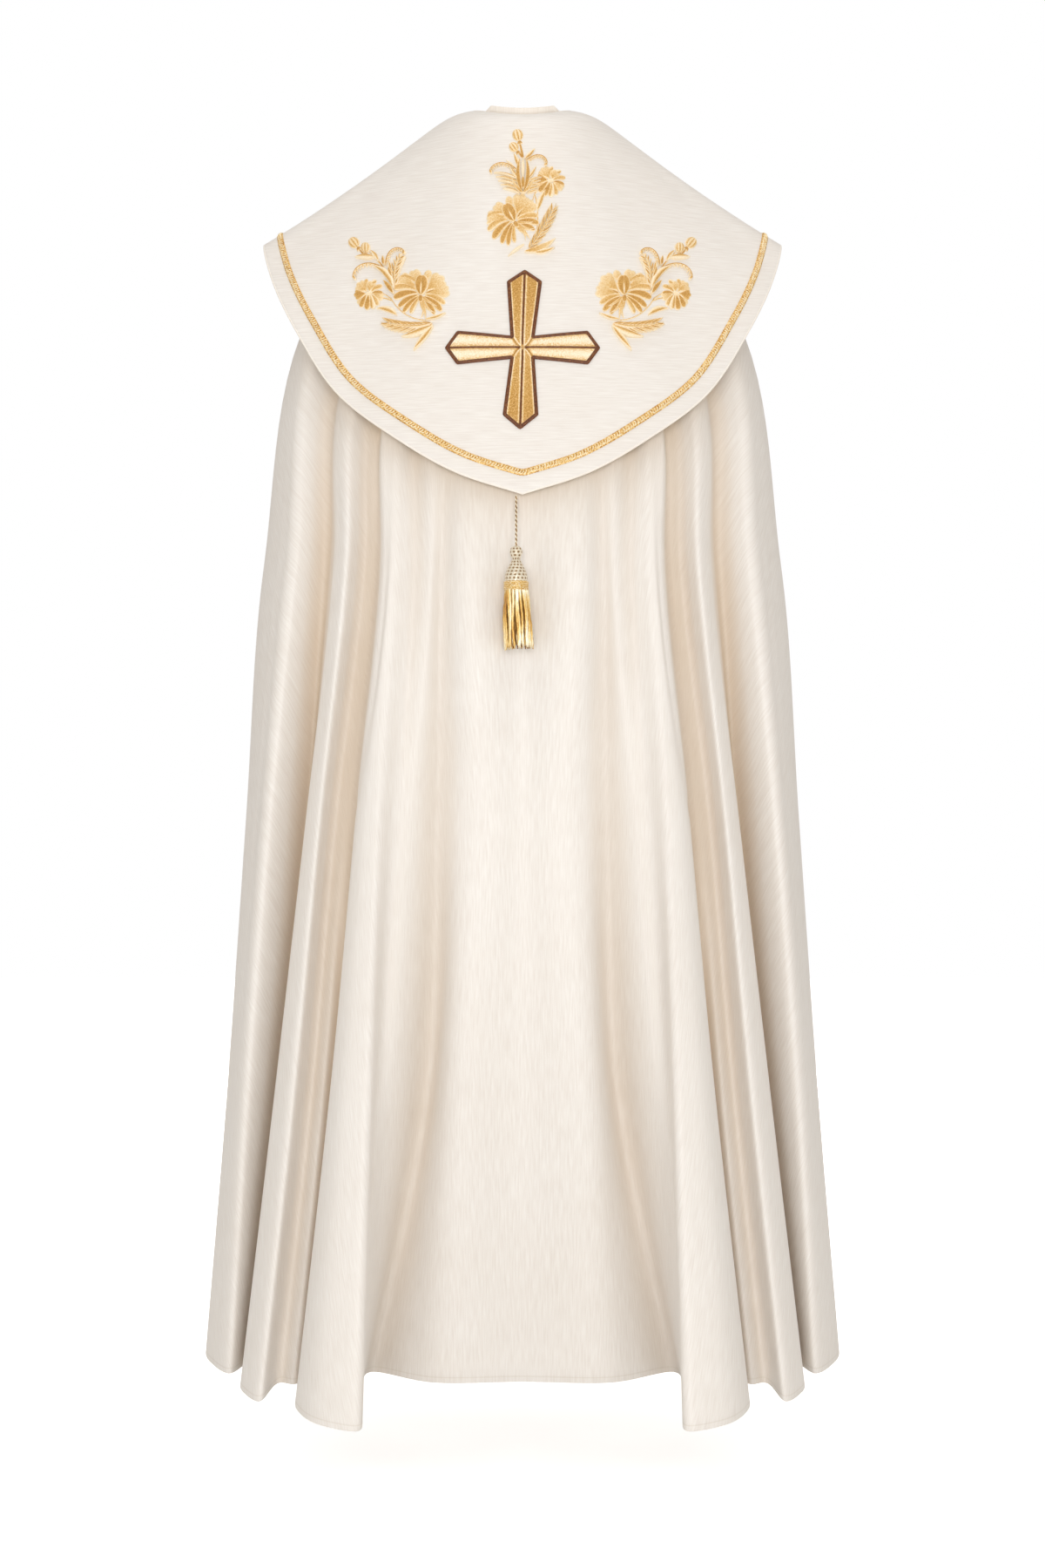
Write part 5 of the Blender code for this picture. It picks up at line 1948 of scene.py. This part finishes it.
            # Painted highlights along each strand, down one side of it and on the bundles' crowns; painted
            # shade between the bundles and in the inner rings
            glint = 0.22 * np.sin(5.5 * share + 3.0 * wave)[:, None] + 0.30 * np.cos(turn - 0.5)
            crown = 0.5 + 0.5 * math.cos(bundle)
            tone = np.clip(0.26 + 0.20 * crown + 0.20 * wave + glint - 0.30 * rank + ends, 0, 1)
            path = np.stack([x, y, z], axis=-1)
            draft.tube(path, normal, thick, thick, self.strand_sides, self.strand_girth, tone=tone)
        return draft.build("tassel_skirt")


# Studio


class Softbox(NamedTuple):
    """A large soft light: its place, its width and height, and its watts."""

    name: str
    place: tuple
    size: tuple
    watts: float


SOFTBOXES = (
    Softbox("front_softbox", (0.0, -4.5, -0.3), (2.4, 1.8), 77.0),
    Softbox("back_softbox", (0.0, 4.5, -0.3), (1.6, 1.8), 82.0),
    Softbox("top_softbox", (0.0, -0.4, 2.4), (2.0, 2.0), 21.0),
    Softbox("left_softbox", (-2.8, -1.6, -0.62), (1.2, 2.2), 9.0),
    Softbox("right_softbox", (2.8, -1.6, -0.62), (1.2, 2.2), 9.0),
)


@dataclass
class Studio:
    """A plain pale floor and backdrop, soft lights and the camera."""

    middle: tuple = (0.0, 0.0, -0.72)
    camera_y: float = -3.4
    camera_z: float = -0.75
    lens_mm: float = 68.0
    sensor_mm: float = 36.0
    floor_z: float = -1.50
    floor_half: float = 8.0
    floor_glow: float = 0.55
    shadow_reach: float = 1.6
    white: str = "#FFFFFF"
    fill: float = 0.52
    fill_colour: str = "#FFF9F1"

    def build(self) -> None:
        """Build the camera, the floor, the lights and the world."""
        scene = bpy.context.scene
        data = bpy.data.cameras.new("studio_camera")
        data.lens, data.sensor_fit, data.sensor_height = self.lens_mm, "VERTICAL", self.sensor_mm
        camera = bpy.data.objects.new("studio_camera", data)
        camera.location = (0.0, self.camera_y, self.camera_z)
        camera.rotation_euler = (math.radians(90), 0.0, 0.0)
        scene.collection.objects.link(camera)
        scene.camera = camera
        scene.view_settings.view_transform = "Standard"
        self.floor()
        for box in SOFTBOXES:
            self.light(box)
        self.world(scene)

    def light(self, box: Softbox) -> None:
        """Hang a softbox, turned to the object's middle.

        Args:
            box: The softbox.
        """
        data = bpy.data.lights.new(box.name, "AREA")
        data.shape, data.energy = "RECTANGLE", box.watts
        data.size, data.size_y = box.size
        lamp = bpy.data.objects.new(box.name, data)
        lamp.location = box.place
        x, y, z = np.array(self.middle) - np.array(box.place)
        lamp.rotation_euler = (math.atan2(math.hypot(x, y), -z), 0.0, math.atan2(-x, y))
        bpy.context.scene.collection.objects.link(lamp)

    def floor(self) -> None:
        """A wide matt floor with a painted glow: white to the camera, and a little darker under the object.
        """
        draft = Draft()
        span = np.linspace(-self.floor_half, self.floor_half, 9)
        x, y = np.meshgrid(span, span[::-1])
        draft.add(np.stack([x, y, np.full_like(x, self.floor_z)], axis=-1), np.stack([x, y], axis=-1))
        item = draft.build("studio_floor")
        # Matt white paint with a painted glow for the camera: no mirror, and no edge against the white behind
        # it
        made, tree = new_material("matt_white_floor")
        place = add_node(tree, "TexCoord").outputs["Object"]
        scale = (1 / self.shadow_reach,) * 2 + (0.0,)
        near = add_node(tree, "Mapping", None, {"Vector": place, "Scale": scale})
        pool = add_node(tree, "TexGradient", {"gradient_type": "SPHERICAL"}, {"Vector": near}).outputs["Fac"]
        # Painted glow: full white far off, dimmer near the object, so the floor is darker under it
        level = add_node(tree, "MapRange", None, {"Value": pool, "To Min": 1.0, "To Max": self.floor_glow})
        seen = add_node(tree, "LightPath").outputs["Is Camera Ray"]
        glow = add_node(tree, "Math", {"operation": "MULTIPLY"}, {0: seen, 1: level})
        look = {"Base Color": linear("#F4F3F1"), "Roughness": 0.9, "Emission Color": linear(self.white)}
        shader = add_node(tree, "BsdfPrincipled", None, look | {"Emission Strength": glow})
        add_node(tree, "OutputMaterial", None, {"Surface": shader})
        item.data.materials.append(made)

    def world(self, scene: bpy.types.Scene) -> None:
        """White all round: full white behind the object, dimmer and warmer as a light.

        Args:
            scene: The scene.
        """
        world = bpy.data.worlds.new("white_studio")
        world.use_nodes = True
        tree = world.node_tree
        tree.nodes.clear()
        seen = add_node(tree, "LightPath").outputs["Is Camera Ray"]
        strength = add_node(tree, "MapRange", None, {"Value": seen, "To Min": self.fill, "To Max": 1.0})
        colours = {"Factor": seen, "A": linear(self.fill_colour), "B": linear(self.white)}
        tint = add_node(tree, "Mix", {"data_type": "RGBA"}, colours)
        sky = add_node(tree, "Background", None, {"Color": tint, "Strength": strength})
        add_node(tree, "OutputWorld", None, {"Surface": sky})
        scene.world = world


def main() -> None:
    """Build every piece in order."""
    logging.basicConfig(level=logging.INFO, format="%(message)s")
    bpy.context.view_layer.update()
    Studio().build()
    cord_piece = TasselCord()
    cord = cord_piece.build()
    tassel = Tassel().build()
    form = CapeForm()
    Cloak(form).build()
    Hood(form).build()
    Braid(form).build()
    Cross(form).build()
    side_spray(form, "spray_left", -0.1406, -0.2011, False)
    side_spray(form, "spray_right", 0.1406, -0.2011, True)
    top_spray(form, "spray_top", 0.0040, -0.0913)
    NeckBand(form.neckline).build()
    ClosingTab(form).build()


if __name__ == "__main__":
    main()
